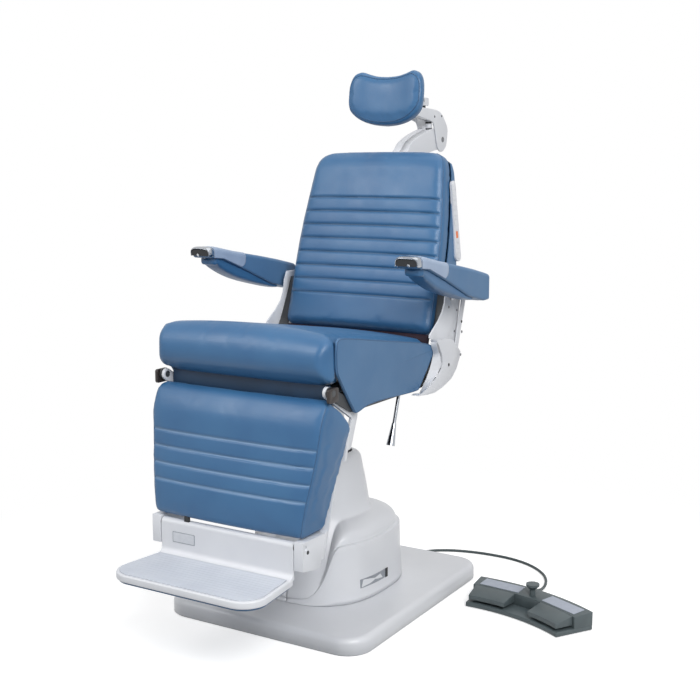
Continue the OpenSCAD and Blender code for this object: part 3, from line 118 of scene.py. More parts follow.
def add(tree, kind, inputs=None, **settings):
    """Adds one node. An input is linked where its value is a socket, and set where it isn't."""
    node = tree.nodes.new(kind)
    for name, value in settings.items():
        setattr(node, name, value)
    for name, value in (inputs or {}).items():
        if isinstance(value, bpy.types.NodeSocket):
            tree.links.new(value, node.inputs[name])
        else:
            node.inputs[name].default_value = value
    return node


def surface(name, base, second=None, patch_mm=60, amount=0.5, roughness=0.5, metallic=0.0, grain_mm=0,
            grain_height_mm=0.0, grain_kind="noise", rough_spread=0.0, seam=None, **shader):
    """A material: a base colour with patches of a second one, and a fine relief of grains.

    Noise of scale s has about s blobs to the metre, so blobs of d mm need s = 1000 / d."""
    material = bpy.data.materials.new(name)
    material.use_nodes = True
    tree = material.node_tree
    tree.nodes.clear()
    place = add(tree, "ShaderNodeTexCoord").outputs["Object"]
    settings = {"Roughness": roughness, "Metallic": metallic, "Base Color": colour(base)}
    settings.update(shader)
    paint = None
    if second:
        patches = add(tree, "ShaderNodeTexNoise", {"Vector": place, "Scale": 1000 / patch_mm, "Detail": 3.0})
        spread = add(tree, "ShaderNodeMapRange", {"Value": patches.outputs["Fac"], "From Min": 0.35,
                                                  "From Max": 0.65, "To Max": amount})
        mix = add(tree, "ShaderNodeMix", {"Factor": spread.outputs["Result"], "A": colour(base),
                                          "B": colour(second)}, data_type="RGBA")
        paint = mix.outputs["Result"]
    # The seam colour is mixed in where the seam attribute is high: the vinyl finishes use it for painted
    # shade on the back's channels and a painted highlight on the leg rest's.
    if seam:
        line = add(tree, "ShaderNodeAttribute", attribute_name="seam")
        mix = add(tree, "ShaderNodeMix", {"Factor": line.outputs["Fac"], "A": paint or colour(base),
                                          "B": colour(seam)}, data_type="RGBA")
        paint = mix.outputs["Result"]
    if paint:
        settings["Base Color"] = paint
    if rough_spread:
        smear = add(tree, "ShaderNodeTexNoise", {"Vector": place, "Scale": 1000 / (patch_mm * SMEAR_SHARE),
                                                 "Detail": 4.0})
        band = add(tree, "ShaderNodeMapRange", {
            "Value": smear.outputs["Fac"], "From Min": 0.3, "From Max": 0.7,
            "To Min": roughness - rough_spread, "To Max": roughness + rough_spread})
        settings["Roughness"] = band.outputs["Result"]
    if grain_mm:
        if grain_kind == "cells":
            relief = add(tree, "ShaderNodeTexVoronoi", {"Vector": place, "Scale": 1000 / grain_mm},
                         feature="SMOOTH_F1").outputs["Distance"]
        elif grain_kind == "ribs":
            waves = 1000 / grain_mm / math.tau * 0.5
            relief = add(tree, "ShaderNodeTexWave", {"Vector": place, "Scale": waves},
                         bands_direction="Y").outputs["Fac"]
        else:
            relief = add(tree, "ShaderNodeTexNoise", {"Vector": place, "Scale": 1000 / grain_mm,
                                                      "Detail": 2.0}).outputs["Fac"]
        bump = add(tree, "ShaderNodeBump", {"Height": relief, "Strength": 1.0,
                                            "Distance": grain_height_mm / 1000})
        settings["Normal"] = bump.outputs["Normal"]
    shader_node = add(tree, "ShaderNodeBsdfPrincipled", settings)
    add(tree, "ShaderNodeOutputMaterial", {"Surface": shader_node.outputs["BSDF"]})
    return material


# %% [markdown]
# ## Vinyl
# The upholstery is expanded vinyl: a PVC skin on a knitted backing, embossed by a roller with
# a fine leather-like grain of cells about a millimetre wide. It has a soft sheen, wide even
# highlights, and its colour wanders a little. The grain is drawn 2.2 mm wide, because at its
# real size a view of the whole chair would average it away. Seam lines come from an attribute
# that the sewing step below writes: along the back's channels a dark colour is mixed in, the
# thread together with painted shade in the sewn groove, and along the leg rest's channels a pale
# colour, a painted highlight. A lighter, greyer copy of the vinyl on the parts seen from the side
# is painted light, for the light that falls on them.

# %% Vinyl finishes
LEATHER_GRAIN = {"grain_mm": 2.2, "grain_height_mm": 0.10, "grain_kind": "cells", "rough_spread": 0.05}
# Its seam colour is painted shade in the sewn grooves, together with the thread.
vinyl = surface("EmbossedVinylBlue", "#33618C", "#40709A", patch_mm=140, amount=0.5, roughness=0.39,
                seam="#1D4260", **LEATHER_GRAIN, **{"Specular IOR Level": 0.5})
# This copy's pale seam colour is a painted highlight along the leg rest's channels.
vinyl_seam_highlight = surface("EmbossedVinylLegRestHighlitSeams", "#33618C", "#40709A", patch_mm=140, amount=0.5,
                          roughness=0.39, seam="#7C9BBB", **LEATHER_GRAIN, **{"Specular IOR Level": 0.5})
# A lighter, greyer copy of the blue vinyl for the parts seen from the side: painted light.
vinyl_side_lit = surface("EmbossedVinylSideLit", "#4A6F95", "#567BA0", patch_mm=140, amount=0.5, roughness=0.46,
                     seam="#1D4260", **LEATHER_GRAIN, **{"Specular IOR Level": 0.35})
# Its dark navy is painted shade: it dresses the seat's front panel, which lies in shade under the roll.
vinyl_dark = surface("EmbossedVinylNavyPaintedShade", "#1E3852", "#284868", patch_mm=90, amount=0.5, roughness=0.5,
                     grain_mm=2.2, grain_height_mm=0.08, grain_kind="cells")
vinyl_pale = surface("SmoothVinylPale", "#93A5BF", "#A3B3C9", patch_mm=60, amount=0.6, roughness=0.42,
                     grain_mm=2.0, grain_height_mm=0.06, grain_kind="cells")
piping = surface("PipingVinyl", "#2C5379", "#376086", patch_mm=40, amount=0.5, roughness=0.4)
foot_cloth = surface("BackFootClothMaroon", "#24111F", "#2E1828", patch_mm=30, amount=0.5, roughness=0.8,
                     grain_mm=1.5, grain_height_mm=0.1)
print("vinyl finishes:", len(bpy.data.materials))

# %% [markdown]
# ## Painted and moulded parts
# The covers are thermoformed ABS, sprayed off-white: an even coat with a faint orange peel of
# 3 mm waves. Steel parts of the same colour are powder coated, a little rougher. The foot
# control is moulded in grey ABS with a spark-eroded grain of half a millimetre, drawn here at
# one. Chrome plate is a metal with hardly any roughness, and ground steel has fine scratches.

# %% Paint, plastic and metal finishes
abs_white = surface("SprayedAbsOffWhite", "#D6D8DD", "#DDDFE3", patch_mm=200, amount=0.6, roughness=0.33,
                    grain_mm=3.0, grain_height_mm=0.012, rough_spread=0.05,
                    **{"Coat Weight": 0.15, "Coat Roughness": 0.2})
powder_white = surface("PowderCoatWhite", "#D9DBE0", "#E0E2E6", patch_mm=120, amount=0.6, roughness=0.4,
                       grain_mm=1.6, grain_height_mm=0.02, rough_spread=0.04)
powder_grey = surface("PowderCoatDark", "#2D3033", "#383B3E", patch_mm=80, amount=0.6, roughness=0.5,
                      grain_mm=1.4, grain_height_mm=0.03)
enamel_dark = surface("EnamelDark", "#3A3D40", "#46494C", patch_mm=90, amount=0.6, roughness=0.42,
                      grain_mm=4.0, grain_height_mm=0.02)
plastic_black = surface("MouldedBlack", "#191A1C", "#222326", patch_mm=30, amount=0.6, roughness=0.5,
                        grain_mm=1.0, grain_height_mm=0.03)
knee_plastic = surface("MouldedBrownBlack", "#241D1B", "#2E2725", patch_mm=20, amount=0.6, roughness=0.45,
                       grain_mm=1.2, grain_height_mm=0.03)
abs_grey = surface("SparkErodedAbsGrey", "#4C5659", "#566164", patch_mm=50, amount=0.6, roughness=0.48,
                   grain_mm=1.0, grain_height_mm=0.05)
rubber_black = surface("RubberBlack", "#17181A", "#212224", patch_mm=20, amount=0.6, roughness=0.7,
                       grain_mm=1.2, grain_height_mm=0.03)
rubber_cord = surface("CordSheathGrey", "#3A4446", "#465153", patch_mm=40, amount=0.7, roughness=0.55,
                      grain_mm=1.5, grain_height_mm=0.02)
rubber_mat = surface("RibbedMatPale", "#C2C7D1", "#CDD2DA", patch_mm=80, amount=0.5, roughness=0.6,
                     grain_mm=3.2, grain_height_mm=0.5, grain_kind="ribs")
steel = surface("GroundSteel", "#B4B6B9", "#C4C6C9", patch_mm=12, amount=0.6, roughness=0.3, metallic=1.0,
                grain_mm=0.9, grain_height_mm=0.01, rough_spread=0.08)
zinc = surface("ZincPlateDull", "#6E7074", "#7C7E82", patch_mm=6, amount=0.6, roughness=0.4, metallic=0.6,
               grain_mm=0.8, grain_height_mm=0.01)
chrome = surface("ChromePlate", "#AEB2B8", "#9DA2A9", patch_mm=25, amount=0.5, roughness=0.12, metallic=1.0,
                 rough_spread=0.04)
key_white = surface("KeyPlasticWhite", "#DADCE0", "#E2E4E7", patch_mm=10, amount=0.5, roughness=0.4,
                    grain_mm=0.8, grain_height_mm=0.01)
key_orange = surface("KeyPlasticOrange", "#E8743B", "#EE8147", patch_mm=10, amount=0.5, roughness=0.38,
                     grain_mm=0.8, grain_height_mm=0.01)
plate_blank = surface("LabelFilmGrey", "#8E939B", "#999EA5", patch_mm=12, amount=0.6, roughness=0.35,
                      grain_mm=0.8, grain_height_mm=0.01)
plate_pale = surface("LabelFilmPale", "#C9CCD2", "#D4D7DB", patch_mm=12, amount=0.6, roughness=0.35)
plate_control = surface("LabelFilmBlueGrey", "#A3AAB8", "#AFB6C2", patch_mm=14, amount=0.6, roughness=0.4,
                        grain_mm=1.0, grain_height_mm=0.01)
# A near-black for painted shade: plates and discs put in mouths, slots and recesses where only shade is seen.
painted_shade_black = surface("RecessPaintedShade", "#141518", "#1C1D20", patch_mm=15, amount=0.5, roughness=0.6)
print("finishes:", len(bpy.data.materials))

# %% [markdown]
# ## Meshes from arrays
# Nearly every new piece here is a loft: rings of points, one behind the other, joined by
# quads. Numpy holds all rings in one array of shape (rings, points, 3), so each form is a
# formula over two parameters and no loop runs over vertices.

# %% Helpers for meshes
def piece(name, points, faces, material, body, smooth=True, slot=None):
    """A mesh object from arrays, riding on a body."""
    mesh = bpy.data.meshes.new(name)
    mesh.from_pydata(np.asarray(points, float).tolist(), [], [list(map(int, f)) for f in faces])
    mesh.materials.append(material)
    mesh.polygons.foreach_set("use_smooth", [smooth] * len(mesh.polygons))
    mesh.update()
    made = bpy.data.objects.new(name, mesh)
    scene.collection.objects.link(made)
    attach(made, body)
    return made


def loft_faces(rings, around, closed_rings=False, closed_around=True):
    """Quads between neighbouring rings: corner (i, j) goes to (i, j+1), (i+1, j+1), (i+1, j)."""
    i = np.arange(rings if closed_rings else rings - 1)[:, None]
    j = np.arange(around if closed_around else around - 1)[None, :]
    i2, j2 = (i + 1) % rings, (j + 1) % around
    quads = np.stack([i * around + j, i * around + j2, i2 * around + j2, i2 * around + j], -1)
    return quads.reshape(-1, 4)


def loft(name, grid, material, body, caps=True, flip=False, **more):
    """Rings of equal length joined into one skin, with a fan over each end where caps is true."""
    rings, around = grid.shape[:2]
    points = grid.reshape(-1, 3)
    faces = loft_faces(rings, around).tolist()
    if caps:
        points = np.vstack([points, grid[0].mean(0), grid[-1].mean(0)])
        j = np.arange(around)
        k = (j + 1) % around
        first, last = rings * around, rings * around + 1
        faces += np.stack([k, j, np.full(around, first)], -1).tolist()
        end = (rings - 1) * around
        faces += np.stack([end + j, end + k, np.full(around, last)], -1).tolist()
    if flip:
        faces = [f[::-1] for f in faces]
    return piece(name, points, faces, material, body, **more)


def facing_out(made):
    """Turns the piece's faces outwards: a closed mesh has a positive volume then."""
    mesh = made.data
    corners = np.zeros(len(mesh.loops), int)
    mesh.loops.foreach_get("vertex_index", corners)
    co = np.zeros(len(mesh.vertices) * 3)
    mesh.vertices.foreach_get("co", co)
    co = co.reshape(-1, 3)
    mesh.calc_loop_triangles()
    tri = np.zeros(len(mesh.loop_triangles) * 3, int)
    mesh.loop_triangles.foreach_get("vertices", tri)
    a, b, c = (co[tri.reshape(-1, 3)[:, k]] for k in range(3))
    if np.einsum("ij,ij->i", a, np.cross(b, c)).sum() < 0:
        mesh.flip_normals()
    return made


def table(rows, t):
    """A smooth curve through the rows (t, value): a cubic whose slope at a row is the mean of the
    slopes beside it, and zero at a peak, so the curve never overshoots."""
    x, y = np.array(rows, float).T
    t = np.clip(t, x[0], x[-1])
    slope = np.diff(y) / np.diff(x)
    product = slope[:-1] * slope[1:]
    inner = np.where(product > 0, 2 * product / (slope[:-1] + slope[1:] + 1e-12), 0)
    m = np.concatenate([slope[:1], inner, slope[-1:]])
    i = np.clip(np.searchsorted(x, t, side="right") - 1, 0, len(x) - 2)
    h = x[i + 1] - x[i]
    u = (t - x[i]) / h
    return ((2 * u**3 - 3 * u**2 + 1) * y[i] + (u**3 - 2 * u**2 + u) * h * m[i]
            + (3 * u**2 - 2 * u**3) * y[i + 1] + (u**3 - u**2) * h * m[i + 1])


def round_rectangle(width, length, r, z, n=16):
    """A rectangle with quarter circles at its corners, counter-clockwise."""
    a = np.radians(np.linspace(0, 90, n))
    parts = []
    for k, (sx, sy) in enumerate(((1, 1), (-1, 1), (-1, -1), (1, -1))):
        turned = a + k * math.pi / 2
        parts.append(np.column_stack([sx * (width / 2 - r) + r * np.cos(turned),
                                      sy * (length / 2 - r) + r * np.sin(turned), np.full(n, z)]))
    return np.vstack(parts)


def mirrored(grid):
    """The same grid on the other side of the chair, with its rings turned round."""
    return (grid * np.array([-1, 1, 1]))[:, ::-1]


# %% [markdown]
# ## Sections of a pad
# A pad on this chair is a board with foam, and its section is a rectangle with a crowned face,
# a round sewn edge in front and a tighter one behind, where the vinyl is stapled to the board.
# Each section has its own half width, face and back, so one function makes them all.

# %% Pad sections
FACE_STEPS, EDGE_STEPS, SIDE_STEPS, REAR_STEPS = 44, 9, 8, 14


def pad_sections(half, face, back, edge, rear_edge, crown):
    """Rings (x, depth) of pad sections. Across the face the depth is face - crown (1 - (x/half)^2),
    the corners are quarter circles of radius edge and rear_edge, and the sides are straight."""
    half, face, back, edge, rear_edge, crown = (v[:, None] for v in np.broadcast_arrays(
        *(np.asarray(v, float) for v in (half, face, back, edge, rear_edge, crown))))
    across = np.sin(np.linspace(-1, 1, FACE_STEPS) * math.pi / 2)[None, :]
    x1 = (half - edge) * across
    y1 = face - crown * (1 - (x1 / half) ** 2)
    lip = face - crown * (1 - ((half - edge) / half) ** 2)
    a = np.linspace(-90, 0, EDGE_STEPS + 1)[None, 1:] * math.pi / 180
    x2, y2 = half - edge + edge * np.cos(a), lip + edge + edge * np.sin(a)
    t = np.linspace(0, 1, SIDE_STEPS + 1)[None, 1:]
    x3, y3 = half + 0 * t, (lip + edge) + (back - rear_edge - lip - edge) * t
    b = np.linspace(0, 90, EDGE_STEPS + 1)[None, 1:] * math.pi / 180
    x4, y4 = half - rear_edge + rear_edge * np.cos(b), back - rear_edge + rear_edge * np.sin(b)
    s = np.linspace(1, -1, REAR_STEPS + 1)[None, 1:]
    x5, y5 = (half - rear_edge) * s, back + 0 * s * half
    left = [x4[:, ::-1] * -1, x3[:, ::-1] * -1, x2[:, ::-1] * -1]
    deep = [y4[:, ::-1], y3[:, ::-1], y2[:, ::-1]]
    x = np.hstack([x1, x2, x3, x4, x5[:, :-1]] + left)
    y = np.hstack([y1, y2, y3, y4, y5[:, :-1]] + deep)
    return x, y


def end_inset(w, low, high, r_low, r_high):
    """How far a section draws in near a pad's ends: R - sqrt(R^2 - (R - d)^2) at distance d."""
    d0, d1 = np.clip(w - low, 0, r_low), np.clip(high - w, 0, r_high)
    at_low = r_low - np.sqrt(r_low**2 - (r_low - d0) ** 2)
    at_high = r_high - np.sqrt(r_high**2 - (r_high - d1) ** 2)
    return at_low + at_high


def spaced(low, high, n, crowding=0.6):
    """n stations from low to high that crowd together at both ends."""
    t = np.linspace(0, 1, n)
    return low + (high - low) * (t - crowding * np.sin(math.tau * t) / math.tau)


# %% [markdown]
# ## Piping and seams
# A welt runs along the sewn edges: a cord in a strip of vinyl, 4 mm thick. It is a tube along
# a path. Channels are different: the needle pulls the vinyl into the foam, so the face dips in
# a narrow V, and the foam stands up round between two seams. Both are functions of the
# distance from the seam, so a step over all vertices can sew them after the form is final.

# %% Tubes and sewing
def tube(name, path, radius, material, body, sides=8, closed=False, **more):
    """A round tube along a path: each ring is the circle in the plane across the path."""
    path = np.asarray(path, float)
    if closed:
        heading = np.roll(path, -1, 0) - np.roll(path, 1, 0)
    else:
        heading = np.gradient(path, axis=0)
    heading /= np.linalg.norm(heading, axis=1)[:, None]
    helper = np.array([0.31, 0.17, 0.93])
    side = np.cross(heading, helper)
    side /= np.linalg.norm(side, axis=1)[:, None]
    up = np.cross(side, heading)
    a = (np.arange(sides) / sides * math.tau)[None, :, None]
    radius = np.broadcast_to(np.asarray(radius, float), (len(path),))[:, None, None]
    grid = path[:, None, :] + radius * (side[:, None, :] * np.cos(a) + up[:, None, :] * np.sin(a))
    if not closed:
        return facing_out(loft(name, grid, material, body, **more))
    faces = loft_faces(len(path), sides, closed_rings=True)
    return facing_out(piece(name, grid.reshape(-1, 3), faces, material, body, **more))


def coordinates(made):
    """All vertices of a piece as an array."""
    co = np.zeros(len(made.data.vertices) * 3)
    made.data.vertices.foreach_get("co", co)
    return co.reshape(-1, 3)


def move_to(made, co):
    """Puts an array of places back into a piece's mesh."""
    made.data.vertices.foreach_set("co", np.asarray(co, float).ravel())
    made.data.update()


def laid_on(path, made, lift=0.0):
    """Moves each point of a path to the nearest place on a piece's skin, lift above it."""
    tree = BVHTree.FromPolygons([v.co for v in made.data.vertices],
                                [list(f.vertices) for f in made.data.polygons])
    found = [tree.find_nearest(Vector(q)) for q in np.asarray(path, float)]
    return np.array([spot + normal * lift for spot, normal, _, _ in found])


def mark_seams(made, amount):
    """Writes the seam attribute that the vinyl finishes read."""
    attribute = made.data.attributes.new("seam", "FLOAT", "POINT")
    attribute.data.foreach_set("value", np.clip(amount, 0, 1).astype(np.float32))


DIP_W, SEAM_W, OUTER_SWELL_SHARE = 0.0032, 0.0018, 0.6


def sew(made, along, outward, reach, seams, depth, swell):
    """Sews channels: depth * exp(-(d / DIP_W)^2) inwards at distance d from the nearest seam, and a
    swell of sine shape between seams, both faded by reach, the share of the face that is sewn."""
    d = np.min(np.abs(along[:, None] - np.asarray(seams)[None, :]), axis=1)
    pitch = abs(seams[1] - seams[0])
    between = (along > min(seams)) & (along < max(seams))
    dip = -depth * np.exp(-((d / DIP_W) ** 2))
    inside = np.sin(np.clip(d / pitch, 0, 0.5) * math.pi)
    outside = np.exp(-((d / pitch) ** 2)) * OUTER_SWELL_SHARE
    rise = swell * np.where(between, inside, outside)
    co = coordinates(made) + outward[None, :] * ((dip + rise) * reach)[:, None]
    move_to(made, co)
    mark_seams(made, np.exp(-((d / SEAM_W) ** 2)) * reach)


# %% [markdown]
# ## Letting the foam push
# A drawn form is too neat for a cushion. Blender's Cloth gives the swelling that foam under
# vinyl has: the skin is remeshed to even cells, held against a light pressure for twenty
# frames, and each point is stopped after a few millimetres, as the board and staples do.

# %% Cloth pass
CLOTH_FRAMES, SKIN_STIFFNESS, FOAM_PRESSURE = 20, 15, 4.0


def inflate(made, voxel, pressure, cap):
    """Voxel remesh, CLOTH_FRAMES of cloth under pressure, and a move limited to cap metres."""
    bpy.context.view_layer.update()
    remesh = made.modifiers.new("Even", "REMESH")
    remesh.mode, remesh.voxel_size = "VOXEL", voxel
    freeze(made)
    start = coordinates(made)
    cloth = made.modifiers.new("Foam", "CLOTH")
    cloth.settings.use_pressure = True
    cloth.settings.uniform_pressure_force = pressure
    cloth.settings.effector_weights.gravity = 0
    cloth.settings.tension_stiffness = cloth.settings.compression_stiffness = SKIN_STIFFNESS
    for step in range(1, CLOTH_FRAMES + 1):
        scene.frame_set(step)
    graph = bpy.context.evaluated_depsgraph_get()
    swollen = made.evaluated_get(graph)
    end = np.zeros(len(swollen.data.vertices) * 3)
    swollen.data.vertices.foreach_get("co", end)
    made.modifiers.clear()
    scene.frame_set(1)
    move = end.reshape(-1, 3) - start
    length = np.linalg.norm(move, axis=1)[:, None]
    move_to(made, start + move * np.minimum(1, cap / np.maximum(length, 1e-9)))
    smooth = made.modifiers.new("Fine", "SUBSURF")
    smooth.levels = smooth.render_levels = 1
    freeze(made)
    farthest = 1000 * min(cap, length.max())
    print("%s: %d cells, moved up to %.1f mm" % (made.name, len(made.data.polygons), farthest))


def freeze(made):
    """Applies all modifiers of a piece to its mesh."""
    graph = bpy.context.evaluated_depsgraph_get()
    graph.update()
    fresh = bpy.data.meshes.new_from_object(made.evaluated_get(graph))
    fresh.polygons.foreach_set("use_smooth", [True] * len(fresh.polygons))
    made.modifiers.clear()
    made.data = fresh


# %% [markdown]
# ## The foot control's cord
# The cord leaves a gland at the rear of the base and lies on the floor round the base's rear left
# corner to the foot control: 0.71 m of 8 mm cord. It goes from the object back into the object,
# so it has no plug. Its route is a smooth curve through chosen points: a spline whose slope at
# each point follows its two neighbours.

# %% Cord
ROUTE_MM = [[70, 388.2, 12], [70, 398, 12], [71, 414, 9], [74, 430, 5], [81, 444, 4], [95, 459, 4],
            [115, 474, 4], [142, 489, 4], [174, 501, 4], [212, 510, 4], [252, 515, 4], [294, 516, 4],
            [336, 512, 4], [376, 501, 4], [413, 483, 4], [446, 458, 4], [474, 427, 4], [494, 391, 4],
            [506, 353, 4], [512, 315, 7], [515, 284, 14], [514, 258, 21], [510.8, 237.1, 24],
            [508.9, 225.5, 24]]


def smooth_path(points, steps=10):
    """Catmull-Rom: between two points, a cubic whose slopes are half the span of the neighbours."""
    p = np.asarray(points, float)
    q = np.vstack([2 * p[0] - p[1], p, 2 * p[-1] - p[-2]])
    t = (np.arange(steps) / steps)[None, :, None]
    a, b, c, d = (q[k:len(q) - 3 + k][:, None, :] for k in range(4))
    curve = 0.5 * (2 * b + (c - a) * t + (2 * a - 5 * b + 4 * c - d) * t**2 + (3 * b - a - 3 * c + d) * t**3)
    return np.vstack([curve.reshape(-1, 3), p[-1]])


cord_path = smooth_path(np.array(ROUTE_MM) / 1000)
cord = tube("FootCord", cord_path, 0.004, rubber_cord, "base", sides=14, slot="cord_rubber")
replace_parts(cord, "foot_cord")

# %% [markdown]
# ## Seat cushion
# The seat is one piece: a full roll in front, over the knees, and a long flat cushion that
# falls towards the back. Its sections run from the front of the roll to the rear. In the roll
# a section's height is a chord of a circle, and behind it the underside steps up to the board.

# %% Seat cushion
SEAT_Z, SEAT_FALL, SEAT_L, ROLL_Y, ROLL_R = 0.796, 0.074, 0.482, 0.373, 0.058
SEAT_END = SEAT_L - ROLL_Y
SEAT_HALF, BEHIND_HALF, ROLL_DRAW_IN = 0.2585, 0.2472, 0.032
STEP_FRONT_Y, STEP_REAR_Y, FLAT_FRONT_Y, REAR_R = -0.386, -0.379, -0.368, 0.024
SEAT_THICK_ROWS = [[-0.45, 0.116], [-0.36, 0.115], [-0.345, 0.108], [-0.335, 0.096], [-0.325, 0.078],
                   [-0.31, 0.075], [0.2, 0.075]]


def seat_top(y):
    """Height of the seat's sides: it falls evenly behind the roll's axis."""
    return SEAT_Z - SEAT_FALL * (np.maximum(y, -ROLL_Y) + ROLL_Y) / SEAT_L


angle = np.radians(np.linspace(6, 88, 22))
y = np.concatenate([-ROLL_Y - ROLL_R * np.cos(angle), np.linspace(FLAT_FRONT_Y, SEAT_END - REAR_R, 60),
                    SEAT_END - REAR_R + REAR_R * np.sin(np.radians(np.linspace(9, 90, 10)))])
chord = np.clip(1 - ((-ROLL_Y - y) / ROLL_R) ** 2, 0, 1) ** 0.5 * (y < -ROLL_Y) + (y >= -ROLL_Y)
half = np.where(y < STEP_FRONT_Y, SEAT_HALF - ROLL_DRAW_IN * (1 - chord),
                np.interp(y, [STEP_FRONT_Y, STEP_REAR_Y], [SEAT_HALF, BEHIND_HALF]))
tail = end_inset(y, -9, SEAT_END, 0.001, 0.0241)
top = seat_top(y) - ROLL_R * (1 - chord) - tail
thick = table(SEAT_THICK_ROWS, y)
under = np.where(y < -ROLL_Y, SEAT_Z - ROLL_R - ROLL_R * chord, seat_top(y) - thick)
edge = np.minimum(0.026 * chord, (top - under) * 0.45)
x, depth = pad_sections(half - tail / 3, -top, -under, edge, np.minimum(0.012, edge * 0.6), 0.013 * chord)
grid = np.stack([x, np.broadcast_to(y[:, None], x.shape), -depth], -1)
seat_cushion = facing_out(loft("SeatCushion", grid, vinyl, "seat", slot="vinyl_blue"))
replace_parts(seat_cushion, "seat_cushion")
print("seat cushion:", len(seat_cushion.data.vertices), "vertices")

# %% [markdown]
# ## Panels with a soft edge
# The seat's wings, the elbow's plates and the head rest's arm are plates with an outline. The
# outline's corners are rounded by cutting each corner in turn, and rings drawn in from it give
# the plate a soft edge; the middle is one flat face, or a crowned fan.

# %% Panel helper
def rounded_outline(corners, times=3):
    """Corner cutting, times over: each side is replaced by its points at 1/4 and 3/4."""
    p = np.asarray(corners, float)
    for _ in range(times):
        nxt = np.roll(p, -1, 0)
        p = np.stack([0.75 * p + 0.25 * nxt, 0.25 * p + 0.75 * nxt], 1).reshape(-1, 2)
    return p


def inset_outline(p, d):
    """Each point moved by d along the inward normal of the outline."""
    tangent = np.roll(p, -1, 0) - np.roll(p, 1, 0)
    tangent /= np.linalg.norm(tangent, axis=1)[:, None]
    inward = np.stack([-tangent[:, 1], tangent[:, 0]], -1)
    area = 0.5 * np.sum(p[:, 0] * np.roll(p[:, 1], -1) - np.roll(p[:, 0], -1) * p[:, 1])
    return p + inward * d * np.sign(area)


def panel(name, outline, x_in, x_out, edge, material, body, crown=0.0, mirror=False, steps=5, **more):
    """A plate in the (y, z) plane between x_in and x_out: its outer edge is a quarter circle, and its
    face rises by crown towards the middle, as (1 - q^2) with q the share of the way to the edge."""
    p = np.asarray(outline, float)
    rings = [np.column_stack([np.full(len(p), x_in), p])]
    for k in range(steps + 1):
        a = math.pi / 2 * k / steps
        q = inset_outline(p, edge * (1 - math.cos(a)))
        rings.append(np.column_stack([np.full(len(p), x_out - edge + edge * math.sin(a)), q]))
    if crown:
        rim = inset_outline(p, edge)
        centre = rim.mean(0)
        for q in (0.92, 0.84, 0.72, 0.56, 0.38, 0.18):
            ring = centre + (rim - centre) * q
            rings.append(np.column_stack([np.full(len(p), x_out + crown * (1 - q * q)), ring]))
    grid = np.array(rings)
    if mirror:
        grid = grid * np.array([-1, 1, 1])
    if crown:
        return facing_out(loft(name, grid, material, body, **more))
    count = len(p)
    faces = loft_faces(len(grid), count).tolist()
    faces += [list(range(count))[::-1], list(range((len(grid) - 1) * count, len(grid) * count))]
    return facing_out(piece(name, grid.reshape(-1, 3), faces, material, body, **more))


# %% [markdown]
# ## Seat wings
# Each side of the seat is closed by an upholstered board: pointed below, where it covers the
# knee hinge's rail, and long towards the back. Its lip lies over the seat's edge. The vinyl is
# the same, but these side faces take its lighter, greyer copy, which is painted light.

# %% Seat wings
WING_Y, WING_Z, WING_L, WING_H = -0.382, 0.597, 0.494, 0.196
WING_IN, WING_OUT, WING_EDGE, WING_CROWN = 0.2546, 0.2612, 0.0035, 0.0016
WING_SHARES = [[0, 0.607], [0.03, 0.49], [0.165, 0.04], [0.185, 0.01], [0.21, 0.015], [0.324, 0.082],
               [0.822, 0.011], [0.85, 0.05], [1.02, 0.5], [1.025, 0.54], [0.95, 0.64], [0.5, 0.818],
               [0.065, 1], [0.02, 0.99], [0, 0.94]]
WELT_INSET, WELT_X, WELT_R = 0.0022, 0.2604, 0.0015
LIP_FRONT, LIP_REAR, LIP_STEPS = -0.36, 0.066, 40
LIP_SECTION = ((0.249, 0.036), (0.2541, 0.036), (0.2541, 0.0105), (0.2515, 0.009), (0.249, 0.0105))
wing_line = np.array([WING_Y, WING_Z]) + np.array(WING_SHARES) * [WING_L, WING_H]
wing_outline = rounded_outline(wing_line, 3)
for side, mirror in (("left", False), ("right", True)):
    wing = panel("SeatWing" + side.title(), wing_outline, WING_IN, WING_OUT, WING_EDGE, vinyl_side_lit, "seat",
                 crown=WING_CROWN, mirror=mirror, slot="vinyl_blue")
    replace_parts(wing, "seat_wing_" + side)
    sign = -1 if mirror else 1
    welt = inset_outline(wing_outline, WELT_INSET)
    tube("WingWelt" + side.title(), np.column_stack([np.full(len(welt), sign * WELT_X), welt]), WELT_R,
         piping, "seat", sides=8, closed=True, slot="vinyl_blue")
    lip_y = np.linspace(LIP_FRONT, LIP_REAR, LIP_STEPS)
    lip = np.stack([np.column_stack([np.full(LIP_STEPS, sign * xx), lip_y, seat_top(lip_y) - drop])
                    for xx, drop in LIP_SECTION], 1)
    facing_out(loft("WingLip" + side.title(), lip, vinyl_side_lit, "seat", slot="vinyl_blue"))
print("wings:", len(wing_outline), "points round")

# %% [markdown]
# ## Front panel under the roll
# Between the knee hinges a board covered in the blue vinyl closes the seat. Only a strip of it shows in
# shadow, and that shade is painted into its dark navy colour.

# %% Front panel
PANEL_STEPS, PANEL_BOW = 60, 0.0012
low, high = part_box("seat_front_panel")
xs = np.linspace(low.x, high.x, PANEL_STEPS)
bow = PANEL_BOW * np.sin(np.linspace(0, math.pi, PANEL_STEPS))
corners = [(low.y, low.z), (low.y, high.z), (high.y, high.z), (high.y, low.z)]
grid = np.stack([np.column_stack([xs, np.full(PANEL_STEPS, yy) - (bow if k < 2 else 0),
                                  np.full(PANEL_STEPS, zz)]) for k, (yy, zz) in enumerate(corners)], 1)
front_panel = facing_out(loft("SeatFrontPanel", grid, vinyl_dark, "seat", smooth=False, slot="vinyl_dark"))
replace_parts(front_panel, "seat_front_panel")

# %% [markdown]
# ## Leg rest
# The pad hangs from the knee hinge. Seen from the side it is a wedge: deep at two thirds of its
# height, where it turns back to the hinge, and thin at its foot. Four channels are sewn across
# it, and its two sides are separate strips of vinyl, sewn on with a welt.

